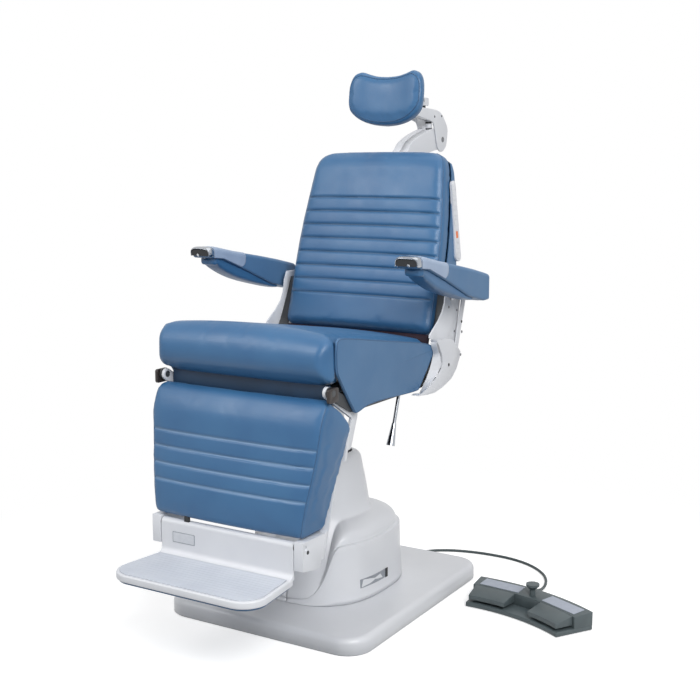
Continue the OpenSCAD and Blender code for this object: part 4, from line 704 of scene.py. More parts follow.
# %% Leg rest pad
LEG_AXIS_Y, LEG_FOOT_Z, LEG_H, LEG_HALF, LEG_D = -0.395, 0.322, 0.326, 0.256, 0.150
FRONT_ROWS = [[0, 0.46], [0.02, 0.52], [0.05, 0.54], [0.65, 0.345], [0.8, 0.3], [0.9, 0.22], [0.96, 0.14],
              [1, 0.05]]
BACK_ROWS = [[0, -0.145], [0.74, -0.62], [0.8, -0.555], [0.9, -0.3], [0.96, -0.08], [1, 0.01]]
HALF_ROWS = [[0, 0.86], [0.05, 0.872], [0.28, 0.914], [0.52, 0.96], [0.8, 0.995], [0.95, 1], [1, 0.985]]
LEG_SEAMS = [0.535 - 0.0405 * k for k in range(4)]


def straight(rows, t):
    """Straight lines between the rows."""
    return np.interp(t, *np.array(rows, float).T)


z = spaced(LEG_FOOT_Z, LEG_FOOT_Z + LEG_H, 130)
t = (z - LEG_FOOT_Z) / LEG_H
pull = end_inset(z, LEG_FOOT_Z, LEG_FOOT_Z + LEG_H, 0.008, 0.010)
leg_face = LEG_AXIS_Y - LEG_D * table(FRONT_ROWS, t) + pull * 0.7
leg_back = LEG_AXIS_Y - LEG_D * straight(BACK_ROWS, t) - 0.0006
leg_half = LEG_HALF * table(HALF_ROWS, t) - pull
x, depth = pad_sections(leg_half, leg_face, leg_back, 0.009, 0.004, 0.0085)
grid = np.stack([x, depth, np.broadcast_to(z[:, None], x.shape)], -1)
leg_pad = facing_out(loft("LegRestPad", grid, vinyl_seam_highlight, "legrest", slot="vinyl_blue"))
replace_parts(leg_pad, "legrest_pad")
corner = FACE_STEPS + EDGE_STEPS // 2 - 1
leg_edges = [grid[:, corner], grid[:, -(EDGE_STEPS // 2) - 1]]
print("leg rest:", len(leg_pad.data.vertices), "vertices")

# %% [markdown]
# ## Back cushion
# The back is drawn upright about the recline hinge and then leaned. A point with depth d
# behind the hinge and distance w along the back lands at y = d cos a + w sin a and
# z = w cos a - d sin a from the hinge. The face is flat with a slight crown, has eight sewn
# channels, and rolls over at the top to meet the shell behind.

# %% Back cushion
LEAN = math.radians(15.6)
HINGE = np.array([0.0, 0.150, 0.662])


def leaned(x, d, w):
    """Upright back coordinates to the chair's own."""
    return np.stack([x, HINGE[1] + d * math.cos(LEAN) + w * math.sin(LEAN),
                     HINGE[2] + w * math.cos(LEAN) - d * math.sin(LEAN)], -1)


BACK_HALF, BACK_FOOT, BACK_L, BACK_FRONT, BACK_REAR = 0.240, 0.062, 0.526, 0.035, 0.0148
WIDE_ROWS = [[0, 0.965], [0.03, 1], [0.2, 1], [0.45, 0.99], [0.87, 0.9013], [0.93, 0.872], [0.965, 0.83],
             [0.985, 0.74], [1, 0.54]]
FACE_ROWS = [[0, 0.2], [0.012, 0.62], [0.028, 0.88], [0.05, 1], [0.88, 1], [0.93, 0.9], [0.965, 0.66],
             [0.985, 0.4], [1, -0.1]]
BACK_EDGE, BACK_CROWN, BACK_ARCH, ARCH_FROM = 0.022, 0.009, 0.007, 0.8
BACK_SEAMS = [0.163 + 0.040 * k for k in range(8)]
w = spaced(BACK_FOOT, BACK_FOOT + BACK_L, 170)
t = (w - BACK_FOOT) / BACK_L
back_half = BACK_HALF * table(WIDE_ROWS, t)
face_share = table(FACE_ROWS, t)
d_face = -BACK_FRONT * face_share
edge = np.minimum(BACK_EDGE, (BACK_REAR - d_face) * 0.62)
crown = BACK_CROWN * np.clip(face_share, 0, 1)
x, depth = pad_sections(back_half, d_face, BACK_REAR, edge, np.minimum(0.005, edge * 0.3), crown)
arch = BACK_ARCH * np.clip((t[:, None] - ARCH_FROM) / 0.2, 0, 1) ** 2 * (1 - (x / BACK_HALF) ** 2)
upright = np.stack([x, depth, w[:, None] + arch - 0.002 * (t[:, None] > 0.99)], -1)
grid = leaned(*np.moveaxis(upright, -1, 0))
back_cushion = facing_out(loft("BackCushion", grid, vinyl, "back", slot="vinyl_blue"))
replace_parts(back_cushion, "back_cushion")
print("back cushion:", len(back_cushion.data.vertices), "vertices")

# %% Cloth and strips at the back's foot
# The dark cloth that closes the gap between the back's foot and the seat is a thin rounded strip
# that sags a little. Beside the cushion a narrow folded sheet stands for each side plate's inner
# flange, which is white but lies in shade: the sheet is painted dark grey as painted shade.
CLOTH_SECTION = np.array([[0.022, 0.003], [0.028, 0.0], [0.060, 0.0], [0.068, 0.003], [0.068, 0.007],
                          [0.022, 0.007]])
CLOTH_HALF, CLOTH_SAG, CLOTH_FACE = 0.232, 0.003, -0.026
STRIP_STEPS, STRIP_FOOT, STRIP_L, STRIP_IN, STRIP_OUT = 25, 0.060, 0.150, 0.2375, 0.2622
STRIP_SHEET = np.array([0, 0.0016, 0.0006])
across = np.linspace(-CLOTH_HALF, CLOTH_HALF, 41)
sag = CLOTH_SAG * (1 - (across / CLOTH_HALF) ** 2)
grid = np.array([leaned(np.full(len(CLOTH_SECTION), xx), CLOTH_FACE + CLOTH_SECTION[:, 1] + dd,
                        CLOTH_SECTION[:, 0]) for xx, dd in zip(across, sag)])
foot_strip = facing_out(loft("BackFootCloth", grid, foot_cloth, "back", slot="vinyl_dark"))
for side, sx in (("Left", 1), ("Right", -1)):
    q = np.linspace(0, 1, STRIP_STEPS)
    up_back = STRIP_FOOT + STRIP_L * q
    inner = leaned(np.full(STRIP_STEPS, STRIP_IN), -0.014 - 0.002 * q, up_back)
    outer = leaned(np.full(STRIP_STEPS, STRIP_OUT), -0.030 + 0.030 * q ** 0.7, up_back)
    grid = np.stack([inner, outer, outer + STRIP_SHEET, inner + STRIP_SHEET], 1) * [sx, 1, 1]
    # Dark grey here is painted shade on the white inner flange of the side plate.
    facing_out(loft("BackSideFlangeShade" + side, grid, powder_grey, "back", smooth=False, slot="paint_white"))
print("cloth at the back's foot:", len(foot_strip.data.vertices), "vertices")

# %% [markdown]
# ## Back shell
# Behind the cushion a padded shell closes the back: deep at the small of the back, where it
# hides the slide of the head rest, and shallow at the top. It is hollow, with a slot for the
# slide, so it is cut from a full form by an inner one and by boxes.

# %% Back shell
SHELL_FOOT, SHELL_L, SHELL_D, SHELL_FACE = 0.196, 0.370, 0.112, 0.0153
DEEP_ROWS = [[0, 0.8], [0.03, 0.86], [0.27, 0.62], [0.55, 0.4], [0.7, 0.33], [0.84, 0.29], [0.93, 0.22],
             [1, 0.10]]
SHELL_WALL = 0.004


def shell_grid(inset, reach, n=60):
    """Sections of the shell, drawn in by inset and reaching forwards by reach."""
    s = np.linspace(0, 1, n)
    w = SHELL_FOOT + inset + s * (SHELL_L - 2 * inset)
    wide = BACK_HALF * table(WIDE_ROWS, (w - BACK_FOOT) / BACK_L) - inset
    deep = SHELL_D * table(DEEP_ROWS, s)
    pull = 0 * w if inset else end_inset(w, SHELL_FOOT, SHELL_FOOT + SHELL_L, 0.010, 0.006)
    rear = np.clip(np.minimum(0.020, deep * 0.5) - inset, 0.0006, 1)
    x, d = pad_sections(wide - pull, -(SHELL_FACE + deep - inset - pull), -(SHELL_FACE - reach), rear,
                        0.0005, 0.0)
    return leaned(x, -d, np.broadcast_to(w[:, None], x.shape))


def box_piece(name, low, high, place, material, body):
    """A plain box between two corners, put through a placing function. It is a cutter."""
    lo, hi = np.asarray(low, float), np.asarray(high, float)
    corners = np.array([[lo[0], hi[0]][i] for i in (0, 1, 1, 0, 0, 1, 1, 0)])
    depth = np.array([[lo[1], hi[1]][i] for i in (0, 0, 1, 1, 0, 0, 1, 1)])
    height = np.array([[lo[2], hi[2]][i] for i in (0, 0, 0, 0, 1, 1, 1, 1)])
    faces = [[0, 3, 2, 1], [4, 5, 6, 7], [0, 1, 5, 4], [1, 2, 6, 5], [2, 3, 7, 6], [3, 0, 4, 7]]
    return facing_out(piece(name, place(corners, depth, height), faces, material, body, smooth=False))


def cut_away(made, cutters):
    """Subtracts the cutters from a piece, exactly, and removes them."""
    for cutter in cutters:
        cutting = made.modifiers.new("Cut", "BOOLEAN")
        cutting.operation, cutting.solver, cutting.object = "DIFFERENCE", "EXACT", cutter
    freeze(made)
    for cutter in cutters:
        bpy.data.objects.remove(cutter)


back_shell = facing_out(loft("BackShell", shell_grid(0, 0), vinyl, "back", slot="vinyl_blue"))
cutters = [facing_out(loft("Hollow", shell_grid(SHELL_WALL, SHELL_WALL), vinyl, "back"))]
cutters.append(box_piece("SlideSlot", (-0.0208, 0.019, 0.381), (0.0208, 0.062, 0.8), leaned, vinyl, "back"))
for sx in (-1, 1):
    lo, hi = sorted((sx * 0.1197, sx * 0.1443))
    cutters.append(box_piece("PostSlot", (lo, 0.0215, 0.19), (hi, 0.0365, 0.204), leaned, vinyl, "back"))
cut_away(back_shell, cutters)
# The shell takes the lighter, greyer side copy of the vinyl: painted light.
back_shell.data.materials.clear()
back_shell.data.materials.append(vinyl_side_lit)
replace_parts(back_shell, "back_shell")
print("back shell:", len(back_shell.data.polygons), "faces")

# %% [markdown]
# ## Arm pads
# Each arm is a long pad that narrows in height towards its front. A sleeve of paler vinyl is
# slipped over its front third, where hands wear it, and a wedge-shaped padded shell hangs below
# it. The pads' heights are shares of the arm's depth, along its length.

# %% Arm pads and lower shells
ARM_Y, ARM_L, ARM_BASE, ARM_T, ARM_IN, ARM_W = -0.149, 0.430, 0.822, 0.150, 0.2854, 0.068
TOP_ROWS = [[0, 0.93], [0.015, 0.965], [0.086, 0.965], [0.27, 0.86], [0.54, 0.735], [0.753, 0.625],
            [0.928, 0.52], [0.97, 0.49], [1, 0.44]]
FOOT_ROWS = [[0, 0.88], [0.03, 0.79], [0.135, 0.757], [0.376, 0.51], [0.685, 0.165], [0.907, 0.025],
             [0.97, 0.03], [1, 0.08]]
SHELL_ROWS = [[0, 0.66], [0.06, 0.58], [0.35, 0.35], [0.75, 0.16], [0.9, 0.1], [1, 0.07]]
ARM_MID = ARM_IN + ARM_W / 2


def arm_sections(s, grow=0.0):
    """Top, foot and half width of the arm pad at shares s of its length."""
    top, foot = ARM_BASE + ARM_T * straight(TOP_ROWS, s), ARM_BASE + ARM_T * straight(FOOT_ROWS, s)
    e = np.minimum(1, 0.8 + 6 * np.minimum(s, 1 - s))
    return top + grow, foot, ARM_W / 2 * e + grow


def arm_pad(name, body, material, mirror):
    """The pad between its top and foot lines, with round ends."""
    s = spaced(0, 1, 90)
    top, foot, half = arm_sections(s)
    pull = end_inset(s * ARM_L, 0, ARM_L, 0.012, 0.012) * 0.55
    top, foot, half = top - pull, foot + 0.4 * pull, half - pull * 0.6
    edge = np.minimum(0.011, (top - foot) / 2.3)
    x, d = pad_sections(half, -top, -foot, edge, edge * 0.5, 0.003)
    grid = np.stack([x + ARM_MID, np.broadcast_to((ARM_Y + s * ARM_L)[:, None], x.shape), -d], -1)
    return facing_out(loft(name, mirrored(grid) if mirror else grid, material, body, slot="vinyl_blue"))


def arm_under(name, body, material, mirror):
    """The wedge under the pad: it follows the pad's underside above and its own line below."""
    y = spaced(-0.122, 0.188, 70)
    s, q = (y - ARM_Y) / ARM_L, np.maximum(y + 0.104, 0) / 0.292
    top = ARM_BASE + ARM_T * straight(FOOT_ROWS, s) - 0.0004
    foot = np.minimum(ARM_BASE + ARM_T * table(SHELL_ROWS, q), top - 0.002)
    pull = end_inset(y, -0.122, 0.188, 0.012, 0.008)
    half = (ARM_W / 2 - 0.008) * np.minimum(1, 0.82 + 5 * np.minimum((y + 0.122) / 0.31, 1 - q)) - 0.3 * pull
    edge = np.minimum(0.010, (top - foot) / 2.3)
    x, d = pad_sections(half, foot + 0.5 * np.minimum(pull, (top - foot) * 0.6), top, edge, edge * 0.2, 0.002)
    grid = np.stack([x + ARM_MID, np.broadcast_to(y[:, None], x.shape), d], -1)
    return facing_out(loft(name, mirrored(grid) if mirror else grid, material, body, slot="vinyl_blue"))


def sleeve(name, body, material, mirror):
    """A thin open sleeve over the pad's top and sides from share 0.035 to 0.375: its rear edge is cut
    round below, so it ends earlier at its lower corners. Its inner side lies 0.3 mm off the pad."""
    n, m = 40, 60
    u = np.linspace(-1, 1, m)
    cut = 0.045 * np.clip((np.abs(u) - 0.70) / 0.30, 0, 1) ** 2.2
    s = 0.035 + np.linspace(0, 1, n)[:, None] * (0.340 - cut)[None, :]
    sheets = []
    for grow in (0.0015, 0.0003):
        top, foot, half = arm_sections(s, grow)
        r = 0.0105
        drop = np.clip(np.abs(u) * 1.9 - 1, 0, None)[None, :] / 0.9
        flat = np.clip(np.abs(u)[None, :] * 1.9, 0, 1)
        bend = np.clip((np.abs(u)[None, :] * 1.9 - 0.78) / 0.42, 0, 1) * math.pi / 2
        side_share = np.clip((np.abs(u)[None, :] - 0.632) / 0.368, 0, 1)
        x = np.sign(u)[None, :] * np.where(bend > 0, half - r + r * np.sin(bend), (half - r) * flat / 0.78)
        z = np.where(bend > 0, top - r + r * np.cos(bend), top + 0.003 * (1 - (x / half) ** 2))
        z = np.where(bend > 0, z + 0.003 * (1 - ((half - r) / half) ** 2) * np.cos(bend), z)
        z = z - side_share * np.maximum(top - r - foot - 0.002, 0.002)
        sheets.append(np.stack([x + ARM_MID, ARM_Y + s * ARM_L + 0 * x, z], -1))
    outer, inner = sheets
    if mirror:
        outer, inner = outer * [-1, 1, 1], inner * [-1, 1, 1]
    ring = np.concatenate([outer, inner[:, ::-1]], 1)
    faces = loft_faces(n, 2 * m).tolist()
    j = np.arange(m - 1)
    for base in (0, (n - 1) * 2 * m):
        faces += np.stack([base + j, base + j + 1, base + 2 * m - 2 - j, base + 2 * m - 1 - j], -1).tolist()
    return facing_out(piece(name, ring.reshape(-1, 3), faces, material, body, slot="vinyl_pale"))


for side, mirror in (("left", False), ("right", True)):
    # The pad takes the lighter, greyer side copy of the vinyl, which is painted light; the shell below keeps
    # the plain vinyl.
    pad = arm_pad("ArmPad" + side.title(), "arm_" + side, vinyl_side_lit, mirror)
    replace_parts(pad, "arm_pad_" + side)
    under = arm_under("ArmShell" + side.title(), "arm_" + side, vinyl, mirror)
    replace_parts(under, "arm_shell_" + side)
    cover = sleeve("ArmSleeve" + side.title(), "arm_" + side, vinyl_pale, mirror)
    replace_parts(cover, "arm_sleeve_" + side)
print("arms: pads, shells and sleeves")

# %% [markdown]
# ## Nose of an arm
# At the front the pad ends in a chromed cap: a shallow shell, open below, whose mouth shows one
# screw; a near-black plate across the mouth paints the shade inside. It is a bent sheet: a
# flattened tunnel along the arm.

# %% Chrome noses
def tunnel(name, y0, y1, low, high, half, sheet, material, body, mirror, front_cut=0.0):
    """A sheet bent over the arm: its section is the upper half of a flattened ellipse with power 4,
    carried from y0 to y1; front_cut leans the front edge back towards its lower corners."""
    n, m = 16, 48
    a = np.linspace(0, math.pi, m)
    cx, cz = np.cos(a), np.sin(a)
    px = np.sign(cx) * np.abs(cx) ** 0.5
    pz = np.abs(cz) ** 0.5
    t = np.linspace(0, 1, n)[:, None]
    sheets = []
    for inset in (0.0, sheet):
        yy = y0 + front_cut * (1 - pz)[None, :] * (1 - t) + (y1 - y0) * t
        bulge = 1 - 0.10 * (1 - t) ** 3
        xx = (half - inset) * px[None, :] * bulge
        zz = low + (high - inset - low) * pz[None, :] * (1 - 0.16 * (1 - t) ** 3)
        sheets.append(np.stack([xx + ARM_MID, yy + 0 * xx, zz], -1))
    outer, inner = sheets
    if mirror:
        outer, inner = outer * [-1, 1, 1], inner * [-1, 1, 1]
    ring = np.concatenate([outer, inner[:, ::-1]], 1)
    faces = loft_faces(n, 2 * m).tolist()
    j = np.arange(m - 1)
    for base in (0, (n - 1) * 2 * m):
        faces += np.stack([base + j, base + j + 1, base + 2 * m - 2 - j, base + 2 * m - 1 - j], -1).tolist()
    return facing_out(piece(name, ring.reshape(-1, 3), faces, material, body, slot="chrome"))


def disc(name, centre, axis, radius, height, material, body, sides=24, slot=None):
    """A low round head, as of a screw: rings of a turned profile about an axis."""
    axis = np.asarray(axis, float) / np.linalg.norm(axis)
    u = np.cross(axis, [0.3, 0.5, 0.81])
    u /= np.linalg.norm(u)
    v = np.cross(axis, u)
    profile = np.array([[1, 0], [1, 0.55], [0.9, 0.8], [0.7, 0.92], [0.4, 1.0], [0.12, 1.0], [0.08, 0.8]])
    a = (np.arange(sides) / sides * math.tau)[None, :, None]
    r = (profile[:, 0] * radius)[:, None, None]
    h = (profile[:, 1] * height)[:, None, None]
    grid = np.asarray(centre) + r * (u * np.cos(a) + v * np.sin(a)) + h * axis
    return facing_out(loft(name, grid, material, body, slot=slot))


NOSE_FRONT, NOSE_REAR, NOSE_FOOT, NOSE_TOP = -0.1545, -0.1365, 0.946, 0.9722
NOSE_HALF, NOSE_SHEET, NOSE_RAKE = 0.0352, 0.0016, 0.004
MOUTH_W, MOUTH_H, MOUTH_R, MOUTH_Z, MOUTH_YS = 0.058, 0.017, 0.006, 0.9555, (-0.1515, -0.1495)
SCREW_ASIDE, SCREW_Y, SCREW_Z, SCREW_R, SCREW_T = 0.006, -0.1508, 0.9495, 0.0042, 0.0026
LUG_W, LUG_L, LUG_R, LUG_Y, LUG_ZS = 0.026, 0.034, 0.004, 0.262, (0.8245, 0.8365)
for side, mirror in (("left", False), ("right", True)):
    sign = -1 if mirror else 1
    rides = "arm_" + side
    tunnel("ArmNose" + side.title(), NOSE_FRONT, NOSE_REAR, NOSE_FOOT, NOSE_TOP, NOSE_HALF, NOSE_SHEET,
           chrome, rides, mirror, NOSE_RAKE)
    # The mouth is a near-black plate that paints the shade inside the cap.
    mouth = round_rectangle(MOUTH_W, MOUTH_H, MOUTH_R, 0.0)
    mouth = np.array([np.column_stack([sign * ARM_MID + mouth[:, 0], np.full(len(mouth), yy),
                                       MOUTH_Z + mouth[:, 1]]) for yy in MOUTH_YS])
    facing_out(loft("NoseMouth" + side.title(), mouth, painted_shade_black, rides, smooth=False,
                    slot="black_plastic"))
    disc("NoseScrew" + side.title(), (sign * (ARM_MID + SCREW_ASIDE), SCREW_Y, SCREW_Z), (0, -0.8, -0.5),
         SCREW_R, SCREW_T, steel, rides, slot="bright_steel")
    lug = round_rectangle(LUG_W, LUG_L, LUG_R, 0.0)
    lug = np.array([np.column_stack([sign * ARM_MID + lug[:, 0], LUG_Y + lug[:, 1], np.full(len(lug), zz)])
                    for zz in LUG_ZS])
    facing_out(loft("ArmLug" + side.title(), lug, powder_white, rides, smooth=False, slot="paint_white"))
print("noses")

# %% [markdown]
# ## Head rest pad
# The head rest is a cushion like a broad bean: lower in the middle of its top edge, hollow from
# side to side so that it holds the head, with round corners. Each section across it is a
# superellipse: its depth and height follow |cos|^(2/n) and |sin|^(2/n), which with n = 3.6
# gives full faces and soft edges. A welt runs round the face.

# %% Head rest pad
HEAD_HALF, HEAD_H, HEAD_T, HEAD_HOLLOW, HEAD_POWER = 0.120, 0.156, 0.044, 0.016, 3.6
HEAD_Y, HEAD_Z, HEAD_LEAN = 0.325, 1.300, math.radians(8)
HEAD_TOP = [[0, 0.915], [0.25, 0.925], [0.5, 0.965], [0.7, 1], [0.85, 0.96], [0.95, 0.85], [1, 0.66]]
HEAD_FOOT = [[0, 0], [0.25, 0.012], [0.5, 0.05], [0.7, 0.11], [0.85, 0.19], [0.95, 0.28], [1, 0.44]]
HEAD_THICK = [[0, 1], [0.6, 1], [0.85, 0.9], [0.95, 0.7], [1, 0.4]]


def head_points(s, a):
    """Points of the head rest at side share s and turn a round its section."""
    m = np.abs(s)
    top, foot = HEAD_H * (table(HEAD_TOP, m) - 0.5), HEAD_H * (table(HEAD_FOOT, m) - 0.5)
    thick = HEAD_T / 2 * table(HEAD_THICK, m)
    ca, sa = np.cos(a), np.sin(a)
    d = -HEAD_HOLLOW * s * s + thick * np.sign(ca) * np.abs(ca) ** (2 / HEAD_POWER)
    v = foot + (top - foot) * (1 + np.sign(sa) * np.abs(sa) ** (2 / HEAD_POWER)) / 2
    y = HEAD_Y + d * math.cos(HEAD_LEAN) + v * math.sin(HEAD_LEAN)
    z = HEAD_Z + HEAD_H / 2 + v * math.cos(HEAD_LEAN) - d * math.sin(HEAD_LEAN)
    return np.stack([HEAD_HALF * s + 0 * y, y, z], -1)


s = np.sin(np.linspace(-1, 1, 81) * math.pi / 2)[:, None]
turn = (np.arange(72) / 72 * math.tau)[None, :]
head_pad = facing_out(loft("HeadRestPad", head_points(s, turn), vinyl, "head", slot="vinyl_blue"))
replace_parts(head_pad, "headrest_pad")
print("head rest:", len(head_pad.data.vertices), "vertices")

# %% [markdown]
# ## Cushions breathe
# The four large cushions now get their cloth pass, then their channels, and last their welts.

# %% Inflate and sew
for pad, voxel, cap in ((seat_cushion, 0.006, 0.004), (leg_pad, 0.006, 0.0016), (back_cushion, 0.006, 0.0035),
                        (head_pad, 0.004, 0.002)):
    inflate(pad, voxel, FOAM_PRESSURE, cap)

co = coordinates(leg_pad)
leg_t = (co[:, 2] - LEG_FOOT_Z) / LEG_H
leg_front_at = LEG_AXIS_Y - LEG_D * table(FRONT_ROWS, np.clip(leg_t, 0, 1))
near_face = np.clip(1 - (co[:, 1] - leg_front_at) / 0.012, 0, 1)
within = np.clip((LEG_HALF * table(HALF_ROWS, np.clip(leg_t, 0, 1)) - np.abs(co[:, 0]) - 0.002) / 0.006, 0, 1)
sew(leg_pad, co[:, 2], np.array([0, -0.97, 0.24]), near_face * within, LEG_SEAMS, 0.0034, 0.0012)

co = coordinates(back_cushion) - HINGE
w_at = co[:, 1] * math.sin(LEAN) + co[:, 2] * math.cos(LEAN)
d_at = co[:, 1] * math.cos(LEAN) - co[:, 2] * math.sin(LEAN)
wide_at = BACK_HALF * table(WIDE_ROWS, np.clip((w_at - BACK_FOOT) / BACK_L, 0, 1))
near_face = np.clip((-0.012 - d_at) / 0.012, 0, 1)
within = np.clip((wide_at - np.abs(co[:, 0]) - 0.006) / 0.012, 0, 1)
back_front = np.array([0, -math.cos(LEAN), math.sin(LEAN)])
sew(back_cushion, w_at, back_front, near_face * within, BACK_SEAMS, 0.0036, 0.0014)
print("sewn:", len(LEG_SEAMS), "and", len(BACK_SEAMS), "channels")

# %% Welts
PIPING_R, WELT_SINK = 0.0016, 0.0004
for k, path in enumerate(leg_edges):
    keep = (path[:, 2] > LEG_FOOT_Z + 0.006) & (path[:, 2] < LEG_FOOT_Z + LEG_H - 0.012)
    tube("LegWelt%d" % k, laid_on(path[keep][::3], leg_pad, -WELT_SINK), PIPING_R, piping, "legrest",
         slot="vinyl_blue")
edge_point = FACE_STEPS + EDGE_STEPS // 2
welt_rows = (w > BACK_FOOT + 0.012) & (w < BACK_FOOT + BACK_L - 0.006)
for k, j in enumerate((edge_point, -(EDGE_STEPS // 2) - 1)):
    path = leaned(*np.moveaxis(upright[welt_rows, j], -1, 0))
    tube("BackWelt%d" % k, laid_on(path[::3], back_cushion, -WELT_SINK), PIPING_R, piping, "back",
         slot="vinyl_blue")
tau = np.linspace(0, math.tau, 97)[:-1]
round_s = 0.955 * np.sign(np.sin(tau)) * np.abs(np.sin(tau)) ** 0.6
round_a = math.pi - math.radians(50) * np.sign(np.cos(tau)) * np.abs(np.cos(tau)) ** 0.6
loop = head_points(round_s, round_a)
tube("HeadWelt", laid_on(loop, head_pad, 0.0), PIPING_R, piping, "head", closed=True, slot="vinyl_blue")
print("welts on the leg rest, the back and the head rest")

# %% [markdown]
# ## Base cover and lift shroud
# The base is covered by a thermoformed tray with a round top edge, and the lift by two moulded
# halves: an oval drum below, with a ledge that sweeps up from the front, a domed cap, and a
# tower that narrows towards the column. The CAD model makes them with few faces; here the same
# formulas run on a fine grid.

# %% Base cover
PLATE_W, PLATE_L, CORNER_R, EDGE_R, COVER_H = 0.610, 0.716, 0.070, 0.016, 0.045
rings = [round_rectangle(PLATE_W - 0.004, PLATE_L - 0.004, CORNER_R - 0.002, 0.0015),
         round_rectangle(PLATE_W, PLATE_L, CORNER_R, 0.003)]
for a in np.radians(np.linspace(0, 90, 14)):
    pull = EDGE_R * (1 - math.cos(a))
    rings.append(round_rectangle(PLATE_W - 2 * pull, PLATE_L - 2 * pull, CORNER_R - pull,
                                 COVER_H - EDGE_R + EDGE_R * math.sin(a)))
grid = np.array(rings)
count = grid.shape[1]
faces = loft_faces(len(grid), count).tolist() + [list(range(count))[::-1],
                                                 list(range((len(grid) - 1) * count, len(grid) * count))]
base_cover = facing_out(piece("BaseCover", grid.reshape(-1, 3), faces, abs_white, "base", slot="cover_white"))
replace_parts(base_cover, "base_cover")
print("base cover:", count, "points round")

# %% Shroud halves
DRUM_W, DRUM_FRONT, DRUM_BACK, DRUM_POWER = 0.368, 0.222, 0.205, 2.6
LEDGE_H, LEDGE_D, CAP_H, TOWER_H, DRAFT, SHROUD_WALL = 0.202, 0.009, 0.044, 0.412, 0.97, 0.003
CORE_ROWS = [[0, 1], [0.094, 0.965], [0.2, 0.885], [0.336, 0.765], [0.468, 0.645], [0.575, 0.56],
             [0.745, 0.505], [0.9, 0.45], [0.946, 0.435], [0.973, 0.41], [0.988, 0.38], [1, 0.32]]
LEDGE_ROWS = [[-90, 0.06], [-76, 0.1], [-68, 0.22], [-63, 0.36], [-58, 0.56], [-54, 0.76], [-50, 0.92],
              [-45, 0.99], [-40, 1], [90, 1]]
CAP_ROWS = [[-90, 0.12], [-62, 0.12], [-50, 0.45], [-40, 0.85], [-30, 1], [90, 1]]


def shroud_sheet(inset, columns=150):
    """One half of the shroud from its foot to its top, as rings of height by columns of direction.
    The plan is a superellipse of power 2.6; a wall, a ledge, a cap (a quarter ellipse) and the tower
    follow each other along every column, and the tower's core shows wherever it is wider."""
    t = np.linspace(-90, 90, columns)
    foot = COVER_H + 0.001
    rise = TOWER_H - foot
    ledge = foot + (LEDGE_H - foot) * table(LEDGE_ROWS, t)
    cap = CAP_H * table(CAP_ROWS, t)
    step = DRAFT - 2 * LEDGE_D / DRUM_W
    v = np.linspace(0, 1, 14)[:, None]
    wall_z, wall_share = foot + (ledge - foot) * v, 1 - (1 - DRAFT) * v + 0 * ledge
    lip = np.radians(np.linspace(15, 90, 5))[:, None]
    lip_z, lip_share = ledge + 0.003 * np.sin(lip), DRAFT - (1 - np.cos(lip)) * (DRAFT - step) + 0 * ledge
    a = np.radians(np.linspace(0, 90, 22))[:, None]
    cap_z = ledge + 0.003 + cap * np.sin(a)
    core = table(CORE_ROWS, ((cap_z - foot) / rise).ravel()).reshape(cap_z.shape)
    cap_share = np.maximum(core, core + (step - core) * np.cos(a) ** 0.8)
    u = np.linspace(0, 1, 41)[1:, None]
    u = 1 - (1 - u) ** 1.6
    tower_z = cap_z[-1:] + (TOWER_H - cap_z[-1:]) * u
    tower_share = table(CORE_ROWS, ((tower_z - foot) / rise).ravel()).reshape(tower_z.shape)
    z = np.vstack([wall_z, lip_z, cap_z, tower_z])
    share = np.vstack([wall_share, np.maximum(lip_share, 0), cap_share, tower_share])
    c, s = np.cos(np.radians(t)), np.sin(np.radians(t))
    px = DRUM_W / 2 * np.abs(c) ** (2 / DRUM_POWER) * share
    py = np.where(s < 0, DRUM_FRONT, DRUM_BACK) * np.sign(s) * np.abs(s) ** (2 / DRUM_POWER) * share
    r = np.hypot(px, py)
    px, py = px * (r - inset) / r, py * (r - inset) / r
    return np.stack([px, py, z - inset * (z > foot + 0.001)], -1)


def shroud_half(name, mirror):
    """Outer and inner sheet joined along the foot, the top and the parting line."""
    outer, inner = shroud_sheet(0), shroud_sheet(SHROUD_WALL)
    outer, inner = (np.maximum(g, [0.0002, -9, -9]) for g in (outer, inner))
    grid = np.concatenate([outer, inner[::-1]], 0)
    if mirror:
        grid = grid * [-1, 1, 1]
    rows, columns = grid.shape[:2]
    faces = loft_faces(rows, columns, closed_rings=True, closed_around=False).tolist()
    half = rows // 2
    i = np.arange(half - 1)
    for j in (0, columns - 1):
        faces += np.stack([i * columns + j, (i + 1) * columns + j, (rows - 2 - i) * columns + j,
                           (rows - 1 - i) * columns + j], -1).tolist()
    return piece(name, grid.reshape(-1, 3), faces, abs_white, "base", slot="cover_white")


def outwards(made):
    """Recalculates the normals of a closed piece, after merging its doubles."""
    mesh = bmesh.new()
    mesh.from_mesh(made.data)
    bmesh.ops.remove_doubles(mesh, verts=mesh.verts, dist=1e-6)
    bmesh.ops.recalc_face_normals(mesh, faces=mesh.faces)
    mesh.to_mesh(made.data)
    mesh.free()
    return made


for side, mirror in (("left", False), ("right", True)):
    half_shroud = outwards(shroud_half("Shroud" + side.title(), mirror))
    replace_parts(half_shroud, "shroud_" + side)
print("shroud: two halves")

# %% [markdown]
# ## Edges of the rigid parts
# Folded steel and moulded plastic never end in a knife edge: a coat of powder or the mould's
# draft leaves a small round that catches the light. The CAD solids keep sharp edges, so a copy
# of each is merged, its flat faces are joined, and a bevel rounds the corners sharper than 35
# degrees. Copying the solid was chosen over drawing it again, because these parts carry joints
# and must stay exactly where they are.

# %% Soften the rigid parts
BODY = {node: body for body, nodes in frame["record"]["behaviour"]["bodies"].items() for node in nodes}


